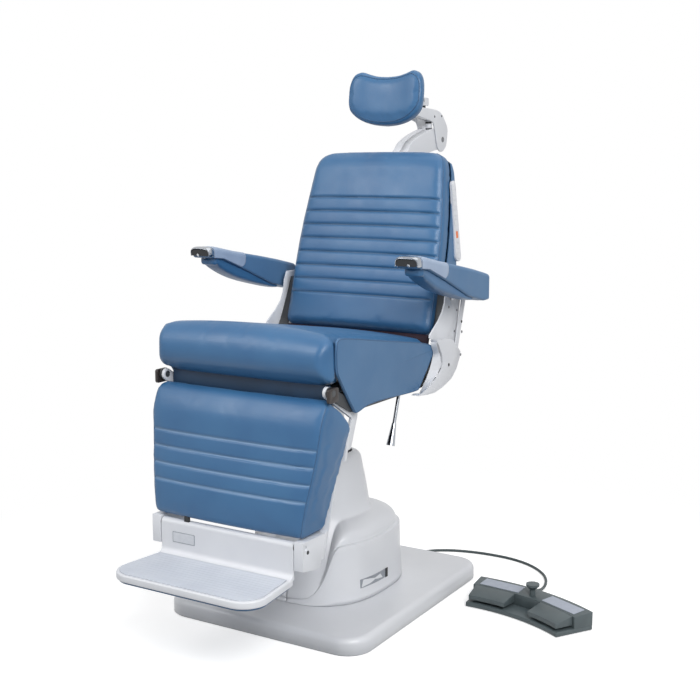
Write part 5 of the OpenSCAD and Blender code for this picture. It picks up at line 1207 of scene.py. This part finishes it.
def soften(name, width, finish):
    """A merged copy of a CAD solid with its sharp edges rounded by width, standing for the solid."""
    mesh = frame["nodes"][name].data.copy()
    work = bmesh.new()
    work.from_mesh(mesh)
    bmesh.ops.remove_doubles(work, verts=work.verts, dist=2e-5)
    bmesh.ops.dissolve_limit(work, angle_limit=math.radians(1.5), verts=work.verts, edges=work.edges)
    work.to_mesh(mesh)
    work.free()
    mesh.materials.clear()
    mesh.materials.append(finish)
    made = bpy.data.objects.new("".join(w.title() for w in name.split("_")), mesh)
    scene.collection.objects.link(made)
    bevel = made.modifiers.new("Rounds", "BEVEL")
    bevel.width, bevel.segments, bevel.limit_method, bevel.angle_limit = width, 2, "ANGLE", math.radians(35)
    freeze(made)
    made.data.set_sharp_from_angle(angle=math.radians(40))
    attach(made, BODY[name])
    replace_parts(made, name)
    return made


ROUNDED_MM = (
    ("hinge_cover_left", 1.2, abs_white, "cover_white"), ("hinge_cover_right", 1.2, abs_white, "cover_white"),
    ("foot_bracket_left", 1.5, powder_white, "paint_white"),
    ("foot_bracket_right", 1.5, powder_white, "paint_white"),
    ("back_frame", 0.6, powder_white, "paint_white"), ("arm_links", 0.6, powder_white, "paint_white"),
    ("headrest_post", 1.0, powder_white, "paint_white"), ("keypad", 0.8, abs_white, "cover_white"),
    ("foot_control_housing", 1.8, abs_grey, "control_plastic"),
    ("foot_control_base", 1.2, abs_grey, "control_plastic"),
    ("pedal_left", 2.0, abs_grey, "control_plastic"), ("pedal_right", 2.0, abs_grey, "control_plastic"),
    ("knee_blocks", 1.2, knee_plastic, "black_plastic"), ("legrest_frame", 0.6, powder_white, "paint_white"))
for name, width, finish, slot in ROUNDED_MM:
    made = soften(name, width / 1000, finish)
    print("%s: %d faces" % (made.name, len(made.data.polygons)))

# %% Front flange of the hinge covers
# The cover's front edge turns inwards to the wing: a ruled sheet between two curves in (y, z),
# one at the wing's face and one at the cover's, kept clear of the back's moving side plate.
FLANGE_IN = [[0.588, 0.022], [0.613, 0.052], [0.632, 0.073], [0.662, 0.096], [0.692, 0.108], [0.705, 0.101],
             [0.722, 0.091]]
FLANGE_OUT = [[0.594, 0.002], [0.605, 0.034], [0.621, 0.0695], [0.638, 0.101], [0.660, 0.1205],
              [0.680, 0.1175], [0.702, 0.103], [0.720, 0.0945], [0.7285, 0.0985]]
RUNGS, FLANGE_IN_X, FLANGE_OUT_X, FLANGE_T = 41, 0.2636, 0.2806, 0.0018
IN_FOOT, IN_RISE, OUT_FOOT, OUT_RISE = 0.588, 0.134, 0.594, 0.1345
share = np.linspace(0, 1, RUNGS)
z_in, z_out = IN_FOOT + share * IN_RISE, OUT_FOOT + share * OUT_RISE
inner_edge = np.column_stack([np.full(RUNGS, FLANGE_IN_X), table(FLANGE_IN, z_in), z_in])
outer_edge = np.column_stack([np.full(RUNGS, FLANGE_OUT_X), table(FLANGE_OUT, z_out), z_out])
back_off = np.array([0, FLANGE_T, 0])
for side, sx in (("Left", 1), ("Right", -1)):
    grid = np.stack([inner_edge, outer_edge, outer_edge + back_off, inner_edge + back_off], 1) * [sx, 1, 1]
    flange = facing_out(loft("CoverFlange" + side, grid, abs_white, "seat", slot="cover_white"))
    flange.data.set_sharp_from_angle(angle=math.radians(40))
print("flanges:", RUNGS, "rungs")

# %% [markdown]
# ## Elbow of the head rest
# Two bent steel plates clasp the end of the sloped arm and reach forwards to the head rest's
# axis. Each is one outline, cut from sheet and painted. Between them run two axles, a thin
# steel rod and a white stop bush with a black rubber ring, and a slotted knob tops them.

# %% Elbow plates
ELBOW_MM = [[455, 1334], [537, 1323], [556, 1317], [570, 1284], [577, 1259], [589, 1236], [606, 1230],
            [621, 1233], [636, 1243], [644, 1255], [649, 1280], [651, 1304], [630, 1328], [606, 1349],
            [575, 1357], [477, 1361], [402, 1364], [394, 1360], [392, 1354], [394, 1348], [402, 1344]]
ELBOW_IN, ELBOW_OUT, ELBOW_EDGE = 0.0262, 0.0302, 0.001
ELBOW_SCREWS = (("Front", 0.5599, 1.3361, 0.0036), ("Top", 0.6071, 1.3391, 0.0036),
                ("Axle", 0.616, 1.2682, 0.0085))
elbow_outline = rounded_outline(np.array(ELBOW_MM) / 1000, times=2)
for side, mirror in (("left", False), ("right", True)):
    cheek = panel("ElbowPlate" + side.title(), elbow_outline, ELBOW_IN, ELBOW_OUT, ELBOW_EDGE, powder_white,
                  "head_elbow", mirror=mirror, slot="paint_white")
    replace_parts(cheek, "headrest_elbow")
    sx = -1 if mirror else 1
    for name, y, z, r in ELBOW_SCREWS:
        disc("Elbow%sScrew%s" % (name, side.title()), (sx * 0.0300, y, z), (sx, 0, 0), r, 0.0016, zinc,
             "head_elbow", slot="bright_steel")


def bar(name, start, stop, radius, material, body, slot, sides=20):
    """A round bar with chamfered ends: rings of a circle along a line, four of them."""
    start, stop = np.asarray(start, float), np.asarray(stop, float)
    along = (stop - start) / np.linalg.norm(stop - start)
    side = np.cross(along, [0.0, 0.3, 1.0])
    side /= np.linalg.norm(side)
    third = np.cross(along, side)
    a = np.arange(sides) / sides * math.tau
    ring = np.cos(a)[:, None] * side + np.sin(a)[:, None] * third
    c = min(0.0008, radius * 0.3)
    grid = np.array([start + (radius - c) * ring, start + c * along + radius * ring,
                     stop - c * along + radius * ring, stop + (radius - c) * ring])
    return facing_out(loft(name, grid, material, body, slot=slot))


AXLE_YZ, TOP_AXLE_YZ, KNOB_AXLE_YZ, STOP_XY = (0.618, 1.268), (0.612, 1.325), (0.512, 1.352), (0.011, 0.557)
KNOB_W, KNOB_H, KNOB_R, KNOB_Y, KNOB_Z = 0.040, 0.024, 0.004, 0.506, 1.3785
KNOB_STEPS = ((0.004, 0.0014), (0.005, 0), (0.0265, 0), (0.0275, 0.0006), (0.0280, 0.0014))
SLOT_W, SLOT_H, SLOT_R, SLOT_Y, SLOT_Z, SLOT_XS = 0.003, 0.010, 0.0012, 0.494, 1.381, (0.0270, 0.0283)
STOP_PIECES = (("StopFoot", 1.270, 1.291, 0.0102, powder_white, "paint_white"),
               ("StopRing", 1.290, 1.301, 0.0106, rubber_black, "black_plastic"),
               ("StopBush", 1.301, 1.315, 0.0112, abs_white, "cover_white"),
               ("StopCap", 1.315, 1.320, 0.0096, rubber_black, "black_plastic"))
ARM_SIDE = [[0.345, 1.2120], [0.394, 1.2260], [0.430, 1.2640], [0.560, 1.3030], [0.600, 1.2990],
            [0.634, 1.2750], [0.634, 1.2560], [0.610, 1.2400], [0.560, 1.2330], [0.470, 1.2130],
            [0.345, 1.1850]]
ARM_OVERLAP, ARM_SIDE_X, ARM_SIDE_EDGE = 0.0002, 0.0252, 0.0016
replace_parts(bar("ElbowAxle", (-ELBOW_IN, *AXLE_YZ), (ELBOW_IN, *AXLE_YZ), 0.006, powder_white, "head_elbow",
                "paint_white"), "headrest_elbow")
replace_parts(bar("ElbowTopAxle", (-ELBOW_IN, *TOP_AXLE_YZ), (ELBOW_IN, *TOP_AXLE_YZ), 0.005, steel,
                "head_elbow", "bright_steel"), "headrest_elbow")
bar("ElbowRod", (0.012, 0.474, 1.329), (0.012, 0.540, 1.325), 0.0022, steel, "head_elbow", "bright_steel")
knob = round_rectangle(KNOB_W, KNOB_H, KNOB_R, 0.0)
knob = np.array([np.column_stack([np.full(len(knob), xx), KNOB_Y + knob[:, 0] - d * np.sign(knob[:, 0]),
                                  KNOB_Z + knob[:, 1] - d * np.sign(knob[:, 1])]) for xx, d in KNOB_STEPS])
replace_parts(facing_out(loft("ElbowKnob", knob, abs_white, "head_elbow", smooth=False, slot="cover_white")),
            "headrest_elbow")
# The knob's slot is a near-black plate that paints the shade inside it.
slot_in = round_rectangle(SLOT_W, SLOT_H, SLOT_R, 0.0)
slot_in = np.array([np.column_stack([np.full(len(slot_in), xx), SLOT_Y + slot_in[:, 0],
                                     SLOT_Z + slot_in[:, 1]]) for xx in SLOT_XS])
facing_out(loft("ElbowKnobSlot", slot_in, painted_shade_black, "head_elbow", smooth=False, slot="black_plastic"))
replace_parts(bar("ElbowKnobStem", (0.016, 0.512, 1.352), (0.016, 0.512, 1.369), 0.007, powder_grey,
                "head_elbow", "paint_white"), "headrest_elbow")
bar("ElbowKnobAxle", (-ELBOW_IN, *KNOB_AXLE_YZ), (ELBOW_IN, *KNOB_AXLE_YZ), 0.0045, powder_grey, "head_elbow",
    "paint_white")
for name, low, high, r, finish, slot in STOP_PIECES:
    bar(name, (*STOP_XY, low), (*STOP_XY, high), r, finish, "head_post", slot, sides=28)
arm_outline = rounded_outline(np.array(ARM_SIDE), times=2)
for side, mirror in (("Left", False), ("Right", True)):
    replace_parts(panel("HeadArm" + side, arm_outline, -ARM_OVERLAP, ARM_SIDE_X, ARM_SIDE_EDGE, powder_white,
                      "head_post", mirror=mirror, slot="paint_white"), "headrest_post")
print("elbow:", len(elbow_outline), "points in an outline")

# %% [markdown]
# ## Foot plate
# The foot plate is a casting: a barrel on the hinge, a riser below it and a tread with big
# round front corners. All its edges are rounded, and a cove joins riser and tread.

# %% Foot plate
AXIS_Y, AXIS_Z, BARREL, RISER_H, RISER_T, COVE_R = -0.468, 0.304, 0.012, 0.076, 0.006, 0.016
TREAD_L, TREAD_T, TREAD_HALF, TREAD_NARROW, TREAD_R, TREAD_REAR_R = 0.196, 0.018, 0.215, 0.200, 0.060, 0.012
TREAD_BACK, TREAD_TOP = AXIS_Y - BARREL + RISER_T, AXIS_Z - RISER_H
SPLAY_L = 0.12


def tread_outline(grow=0.0, n=18):
    """The tread in plan, from its rear right corner round the front: two big quarter circles in front
    and two small ones behind. Its sides splay: the half width grows from TREAD_NARROW to TREAD_HALF."""
    front, back = TREAD_BACK - TREAD_L - grow, TREAD_BACK + grow
    half = TREAD_HALF + grow
    parts = []
    for cx, cy, r, a0 in ((half - TREAD_REAR_R, back - TREAD_REAR_R, TREAD_REAR_R, 0),
                          (-(half - TREAD_REAR_R), back - TREAD_REAR_R, TREAD_REAR_R, 90),
                          (-(half - TREAD_R - grow), front + TREAD_R + grow, TREAD_R + grow, 180),
                          (half - TREAD_R - grow, front + TREAD_R + grow, TREAD_R + grow, 270)):
        a = np.radians(np.linspace(a0, a0 + 90, n))
        parts.append(np.column_stack([cx + r * np.cos(a), cy + r * np.sin(a)]))
    flat = np.vstack(parts)
    along = np.clip((TREAD_BACK - flat[:, 1]) / SPLAY_L, 0, 1)
    splay = TREAD_NARROW + (TREAD_HALF - TREAD_NARROW) * along * along * (3 - 2 * along)
    return flat * np.column_stack([splay / TREAD_HALF, np.ones(len(flat))])


def slab(name, outline, z0, z1, edge, material, body, slot=None, steps=5):
    """A flat piece between two heights, with quarter-round upper and lower edges."""
    turns = np.linspace(0, math.pi / 2, steps + 1)
    rings = [(z0 + edge * (1 - math.cos(a)), edge * (1 - math.sin(a))) for a in turns]
    rings += [(z1 - edge * (1 - math.sin(a)), edge * (1 - math.cos(a))) for a in turns]
    grid = np.array([np.column_stack([inset_outline(outline, d), np.full(len(outline), zz)])
                     for zz, d in rings])
    count = len(outline)
    faces = loft_faces(len(grid), count).tolist()
    faces += [list(range(count))[::-1], list(range((len(grid) - 1) * count, len(grid) * count))]
    return facing_out(piece(name, grid.reshape(-1, 3), faces, material, body, slot=slot))


tread = slab("FootTread", tread_outline(), TREAD_TOP - TREAD_T, TREAD_TOP, 0.004, powder_white, "footrest",
             "paint_white")
a = np.radians(np.linspace(-90, 180, 28))
barrel = np.column_stack([AXIS_Y + BARREL * np.cos(a), AXIS_Z + BARREL * np.sin(a)])
back_y = AXIS_Y - BARREL + RISER_T
b = np.radians(np.linspace(0, 90, 9))
cove = np.column_stack([AXIS_Y - BARREL - COVE_R + COVE_R * np.cos(b),
                        TREAD_TOP + COVE_R - COVE_R * np.sin(b)])
profile = np.vstack([barrel, [[AXIS_Y - BARREL, AXIS_Z - 0.004]], cove,
                     [[AXIS_Y - BARREL - COVE_R, TREAD_TOP - 0.004], [back_y, TREAD_TOP - 0.004],
                      [back_y, AXIS_Z - 0.009]]])
ENDS_AND_INSETS = ((-0.2, 0.0012), (-0.1992, 0.0004), (-0.1985, 0),
                   (0.1985, 0), (0.1992, 0.0004), (0.2, 0.0012))
grid = np.array([np.column_stack([np.full(len(profile), e), inset_outline(profile, d)])
                 for e, d in ENDS_AND_INSETS])
count = len(profile)
faces = loft_faces(len(grid), count).tolist() + [list(range(count)), list(range(5 * count, 6 * count))[::-1]]
riser = facing_out(piece("FootRiser", grid.reshape(-1, 3), faces, powder_white, "footrest", smooth=False,
                         slot="paint_white"))
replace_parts(tread, "footplate")
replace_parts(riser, "footplate")
# A near-black disc at each end of the barrel paints the shade in its recess.
for side, sx in (("Left", 1), ("Right", -1)):
    disc("BarrelRecess" + side, (sx * 0.1996, AXIS_Y, AXIS_Z), (sx, 0, 0), 0.0112, 0.0012, painted_shade_black,
         "footrest", slot="black_plastic")
print("foot plate: tread and riser")

# %% Mat and sole
mat_back = TREAD_BACK - RISER_T - COVE_R - 0.001
mat = tread_outline(-0.008)
mat = np.column_stack([mat[:, 0], np.minimum(mat[:, 1], mat_back)])
mat = slab("FootMat", mat, TREAD_TOP + 0.0001, TREAD_TOP + 0.0026, 0.001, rubber_mat, "footrest",
           "mat_rubber", steps=3)
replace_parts(mat, "footplate_mat")
sole = slab("FootSole", tread_outline(-0.006), TREAD_TOP - TREAD_T - 0.0052, TREAD_TOP - TREAD_T - 0.0002,
            0.0015, piping, "footrest", "vinyl_dark", steps=3)
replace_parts(sole, "footplate_pad")

# %% [markdown]
# ## Small things that are seen
# A blank label plate with a frame on the riser, a latch beside it, a blank badge on the drum,
# and plain label plates on the foot control. They carry no words: the frame and the film's
# sheen are enough to read as labels.

# %% Plates and screws
def plate(name, centre, right, up, width, height, thick, material, body, slot=None, r=0.002):
    """A small flat plate with round corners, standing on a surface with its own right and up."""
    right, up = (np.asarray(v, float) / np.linalg.norm(v) for v in (right, up))
    out = np.cross(right, up)
    flat = round_rectangle(width, height, r, 0.0, n=5)[:, :2]
    rings = []
    for h, d in ((-0.0005, 0), (thick - 0.0003, 0), (thick, 0.0003)):
        q = inset_outline(flat, d)
        rings.append(np.asarray(centre) + q[:, :1] * right + q[:, 1:] * up + h * out)
    grid = np.array(rings)
    count = len(flat)
    faces = loft_faces(3, count).tolist() + [list(range(count))[::-1], list(range(2 * count, 3 * count))]
    return facing_out(piece(name, grid.reshape(-1, 3), faces, material, body, smooth=False, slot=slot))


riser_face = AXIS_Y - BARREL
LABEL_X, LABEL_Z, LABEL_W, LABEL_H = -0.128, 0.272, 0.066, 0.024
LATCH_X, LATCH_W, LATCH_L, LATCH_R, LATCH_ZS = -0.122, 0.016, 0.009, 0.003, (0.3145, 0.327, 0.329)
for name, grow, thick, finish in (("LabelFrame", 0.0018, 0.0010, plate_blank),
                                  ("LabelFilm", 0.0, 0.0014, plate_pale)):
    plate(name, (LABEL_X, riser_face, LABEL_Z), (1, 0, 0), (0, 0, 1), LABEL_W + 2 * grow, LABEL_H + 2 * grow,
          thick, finish, "footrest", slot="paint_white")
latch = round_rectangle(LATCH_W, LATCH_L, LATCH_R, 0.0)
latch = np.array([np.column_stack([LATCH_X + latch[:, 0], AXIS_Y - 0.004 + latch[:, 1] * 0.8,
                                   np.full(len(latch), zz)]) for zz in LATCH_ZS])
facing_out(loft("FootLatch", latch, plastic_black, "footrest", smooth=False, slot="black_plastic"))
DRUM_SIDE = shroud_sheet(0)


def drum_point(y, z):
    """The point of the left drum wall at a given depth and height, from the wall's own grid."""
    near = np.abs(DRUM_SIDE[:, :, 1] - y) + 2 * np.abs(DRUM_SIDE[:, :, 2] - z)
    return DRUM_SIDE.reshape(-1, 3)[int(near.argmin())]


badge = []
ys = np.linspace(-0.115, 0.002, 25)
for lift, d in ((-0.0006, 0), (0.0012, 0), (0.0016, 0.0004)):
    x_at = np.array([drum_point(y, 0.092)[0] for y in ys]) + lift
    loop = np.concatenate([np.column_stack([x_at, ys, np.full(25, 0.081 + d)]),
                           np.column_stack([x_at, ys, np.full(25, 0.105 - d)])[::-1]])
    badge.append(loop)
facing_out(loft("DrumBadge", np.array(badge), plate_blank, "base", smooth=False, slot="cover_white"))
end = []
for lift in (0.0008, 0.0022):
    x_at = np.array([drum_point(y, 0.092)[0] for y in (-0.006, 0.0, 0.006)]) + lift
    end.append(np.concatenate([np.column_stack([x_at, [-0.006, 0.0, 0.006], np.full(3, 0.0805)]),
                               np.column_stack([x_at, [-0.006, 0.0, 0.006], np.full(3, 0.1055)])[::-1]]))
facing_out(loft("DrumBadgeEnd", np.array(end), plastic_black, "base", smooth=False, slot="black_plastic"))


def control_point(angle, radius, z):
    """A point of the foot control from its angle and radius about the control's centre."""
    a = np.radians(angle + 14.5)
    return np.array([0.4065 + radius * np.sin(a), -0.3862 + radius * np.cos(a), z])


for sign, side in ((-1, "Left"), (1, "Right")):
    outward = control_point(sign * 10, 1, 0) - control_point(sign * 10, 0, 0)
    outward = outward + [0, 0, 4 / 58]
    plate("ControlLabel" + side, control_point(sign * 10.2, 0.568, 0.0480), np.cross(outward, (0, 0, 1.0)),
          outward, 0.118, 0.040, 0.0012, plate_control, "base", slot="control_plastic")
print("labels, latch and badge")

# %% Screws of the frame
# The near-black disc on the links paints the shade of a recess; the others are zinc screw heads and black
# caps.
SCREW_PLACES = (
    (0.193, 0.8075, 0.267, 0.0040, zinc, "back"), (0.2436, 0.794, 0.267, 0.0036, zinc, "back"),
    (0.230, 0.7365, 0.267, 0.0036, zinc, "back"), (0.257, 0.761, 0.276, 0.0042, painted_shade_black, "links"),
    (0.259, 0.732, 0.276, 0.0042, zinc, "links"), (0.165, 0.653, 0.2833, 0.0048, plastic_black, "seat"),
    (0.238, 0.671, 0.2833, 0.0040, zinc, "seat"), (-0.4587, 0.292, 0.2282, 0.0048, plastic_black, "legrest"))
SCREW_SINK, SCREW_HEAD_T = 0.0004, 0.0014
for side, sx in (("Left", 1), ("Right", -1)):
    for k, (y, z, x, r, finish, body) in enumerate(SCREW_PLACES):
        disc("FrameScrew%d%s" % (k, side), (sx * (x - SCREW_SINK), y, z), (sx, 0, 0), r, SCREW_HEAD_T, finish,
             body, slot="bright_steel" if finish is zinc else "black_plastic")
print("screws:", 2 * len(SCREW_PLACES))

# %% [markdown]
# ## Finishes for the CAD pieces
# Everything else keeps its CAD shape. Each node gets the finish of its real material.

# %% Dress the CAD nodes
FINISHES = {
    "base_plate": enamel_dark, "column_outer": enamel_dark, "lift_drive": enamel_dark,
    "mains_inlet": plastic_black, "cable_gland": plastic_black, "foot_control_feet": rubber_black,
    "foot_button": abs_grey, "column_inner": steel, "turntable": enamel_dark, "seat_frame": powder_grey,
    "hinge_cheeks": powder_grey, "pivot_pins": enamel_dark, "recline_actuator": plastic_black,
    "lever_rod": chrome, "lever_handle": chrome, "key_back_up": key_white, "key_back_down": key_white,
    "key_chair_up": key_white, "key_chair_down": key_white, "key_stop": key_orange,
    "key_return": key_white, "key_lamp": key_white, "arm_carriers": steel, "headrest_plate": steel}
for name, finish in FINISHES.items():
    node = frame["nodes"][name]
    node.data.materials.clear()
    node.data.materials.append(finish)
left_out = sorted(n for n, o in frame["nodes"].items() if n not in FINISHES and not o.hide_render)
print("dressed:", len(FINISHES), "left out:", left_out)

# %% [markdown]
# ## Floor, light and background
# The floor is a large pale sheet. Near the chair it keeps the shadow, and between 0.7 m and 1.5 m
# out it fades to pure white, as the sky is to the camera, to gloss and to glass. The light is a
# studio's: a wide soft lamp high on the chair's left, a weaker one on its right, one overhead,
# and an even sky that fills the shadows.

# %% Floor
FLOOR_HALF = 30
FLOOR_CORNERS = [(sx * FLOOR_HALF, sy * FLOOR_HALF, 0) for sx, sy in ((-1, -1), (1, -1), (1, 1), (-1, 1))]
floor_mesh = bpy.data.meshes.new("Floor")
floor_mesh.from_pydata(FLOOR_CORNERS, [], [(0, 1, 2, 3)])
floor = bpy.data.objects.new("Floor", floor_mesh)
scene.collection.objects.link(floor)
floor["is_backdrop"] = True
paper = bpy.data.materials.new("StudioPaper")
paper.use_nodes = True
tree = paper.node_tree
tree.nodes.clear()
place = add(tree, "ShaderNodeTexCoord")
fibre = add(tree, "ShaderNodeTexNoise", {"Vector": place.outputs["Object"], "Scale": 40.0, "Detail": 2.0})
tone = add(tree, "ShaderNodeMapRange", {"Value": fibre.outputs["Fac"], "To Min": 0.86, "To Max": 0.90})
grey = add(tree, "ShaderNodeCombineColor", {"Red": tone.outputs["Result"], "Green": tone.outputs["Result"],
                                            "Blue": tone.outputs["Result"]})
matte = add(tree, "ShaderNodeBsdfDiffuse", {"Color": grey.outputs["Color"]})
rays = add(tree, "ShaderNodeLightPath")
seen = add(tree, "ShaderNodeMath", {0: rays.outputs["Is Camera Ray"], 1: rays.outputs["Is Glossy Ray"]},
           operation="MAXIMUM")
through = add(tree, "ShaderNodeMath", {0: seen.outputs["Value"], 1: rays.outputs["Is Transmission Ray"]},
              operation="MAXIMUM")
near_glow = add(tree, "ShaderNodeEmission", {"Color": (1, 1, 1, 1), "Strength": 0.47})
far_glow = add(tree, "ShaderNodeEmission", {"Color": (1, 1, 1, 1), "Strength": 1.0})
near = add(tree, "ShaderNodeAddShader", {0: matte.outputs["BSDF"], 1: near_glow.outputs["Emission"]})
centred = add(tree, "ShaderNodeVectorMath", {0: place.outputs["Object"], 1: (-0.15, 0.05, 0.0)},
              operation="ADD")
away = add(tree, "ShaderNodeVectorMath", {0: centred.outputs["Vector"]}, operation="LENGTH")
fade = add(tree, "ShaderNodeMapRange", {"Value": away.outputs["Value"], "From Min": 0.7, "From Max": 1.5},
           interpolation_type="SMOOTHSTEP")
paper_seen = add(tree, "ShaderNodeMixShader", {0: fade.outputs["Result"], 1: near.outputs["Shader"],
                                               2: far_glow.outputs["Emission"]})
bounce = add(tree, "ShaderNodeBsdfDiffuse", {"Color": (0.42, 0.43, 0.44, 1)})
paper_lit = add(tree, "ShaderNodeMixShader", {0: through.outputs["Value"], 1: bounce.outputs["BSDF"],
                                              2: paper_seen.outputs["Shader"]})
add(tree, "ShaderNodeOutputMaterial", {"Surface": paper_lit.outputs["Shader"]})
floor_mesh.materials.append(paper)

# %% Lamps and sky
def lamp(name, place, target, size, power):
    """A square area lamp of a given size that looks at a target."""
    data = bpy.data.lights.new(name, "AREA")
    data.shape, data.size, data.energy = "SQUARE", size, power
    made = bpy.data.objects.new(name, data)
    made.location = place
    made.rotation_euler = (Vector(target) - Vector(place)).to_track_quat("-Z", "Y").to_euler()
    scene.collection.objects.link(made)


lamp("KeyLamp", (2.9, -2.0, 2.9), (0, 0, 0.6), 2.4, 126)
lamp("FillLamp", (-2.0, -3.0, 3.3), (0, 0, 0.9), 1.9, 62)
lamp("TopLamp", (0.3, 0.6, 4.0), (0, 0, 0.6), 3.0, 26)
world = bpy.data.worlds.new("Studio")
scene.world = world
world.use_nodes = True
tree = world.node_tree
tree.nodes.clear()
sky = add(tree, "ShaderNodeBackground", {"Color": (1, 1, 1, 1), "Strength": 0.33})
white = add(tree, "ShaderNodeBackground", {"Color": (1, 1, 1, 1), "Strength": 1.0})
rays = add(tree, "ShaderNodeLightPath")
seen = add(tree, "ShaderNodeMath", {0: rays.outputs["Is Camera Ray"], 1: rays.outputs["Is Transmission Ray"]},
           operation="MAXIMUM")
gloss = add(tree, "ShaderNodeMath", {0: seen.outputs["Value"], 1: rays.outputs["Is Glossy Ray"]},
            operation="MAXIMUM")
pick = add(tree, "ShaderNodeMixShader", {0: gloss.outputs["Value"], 1: sky.outputs["Background"],
                                         2: white.outputs["Background"]})
add(tree, "ShaderNodeOutputWorld", {"Surface": pick.outputs["Shader"]})
scene.view_settings.view_transform = "Standard"

# %% Sizes and finish
dressed_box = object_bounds()
for name, box in (("CAD box:", cad_box), ("dressed box:", dressed_box)):
    print(name, [[round(float(c), 3) for c in v] for v in box])
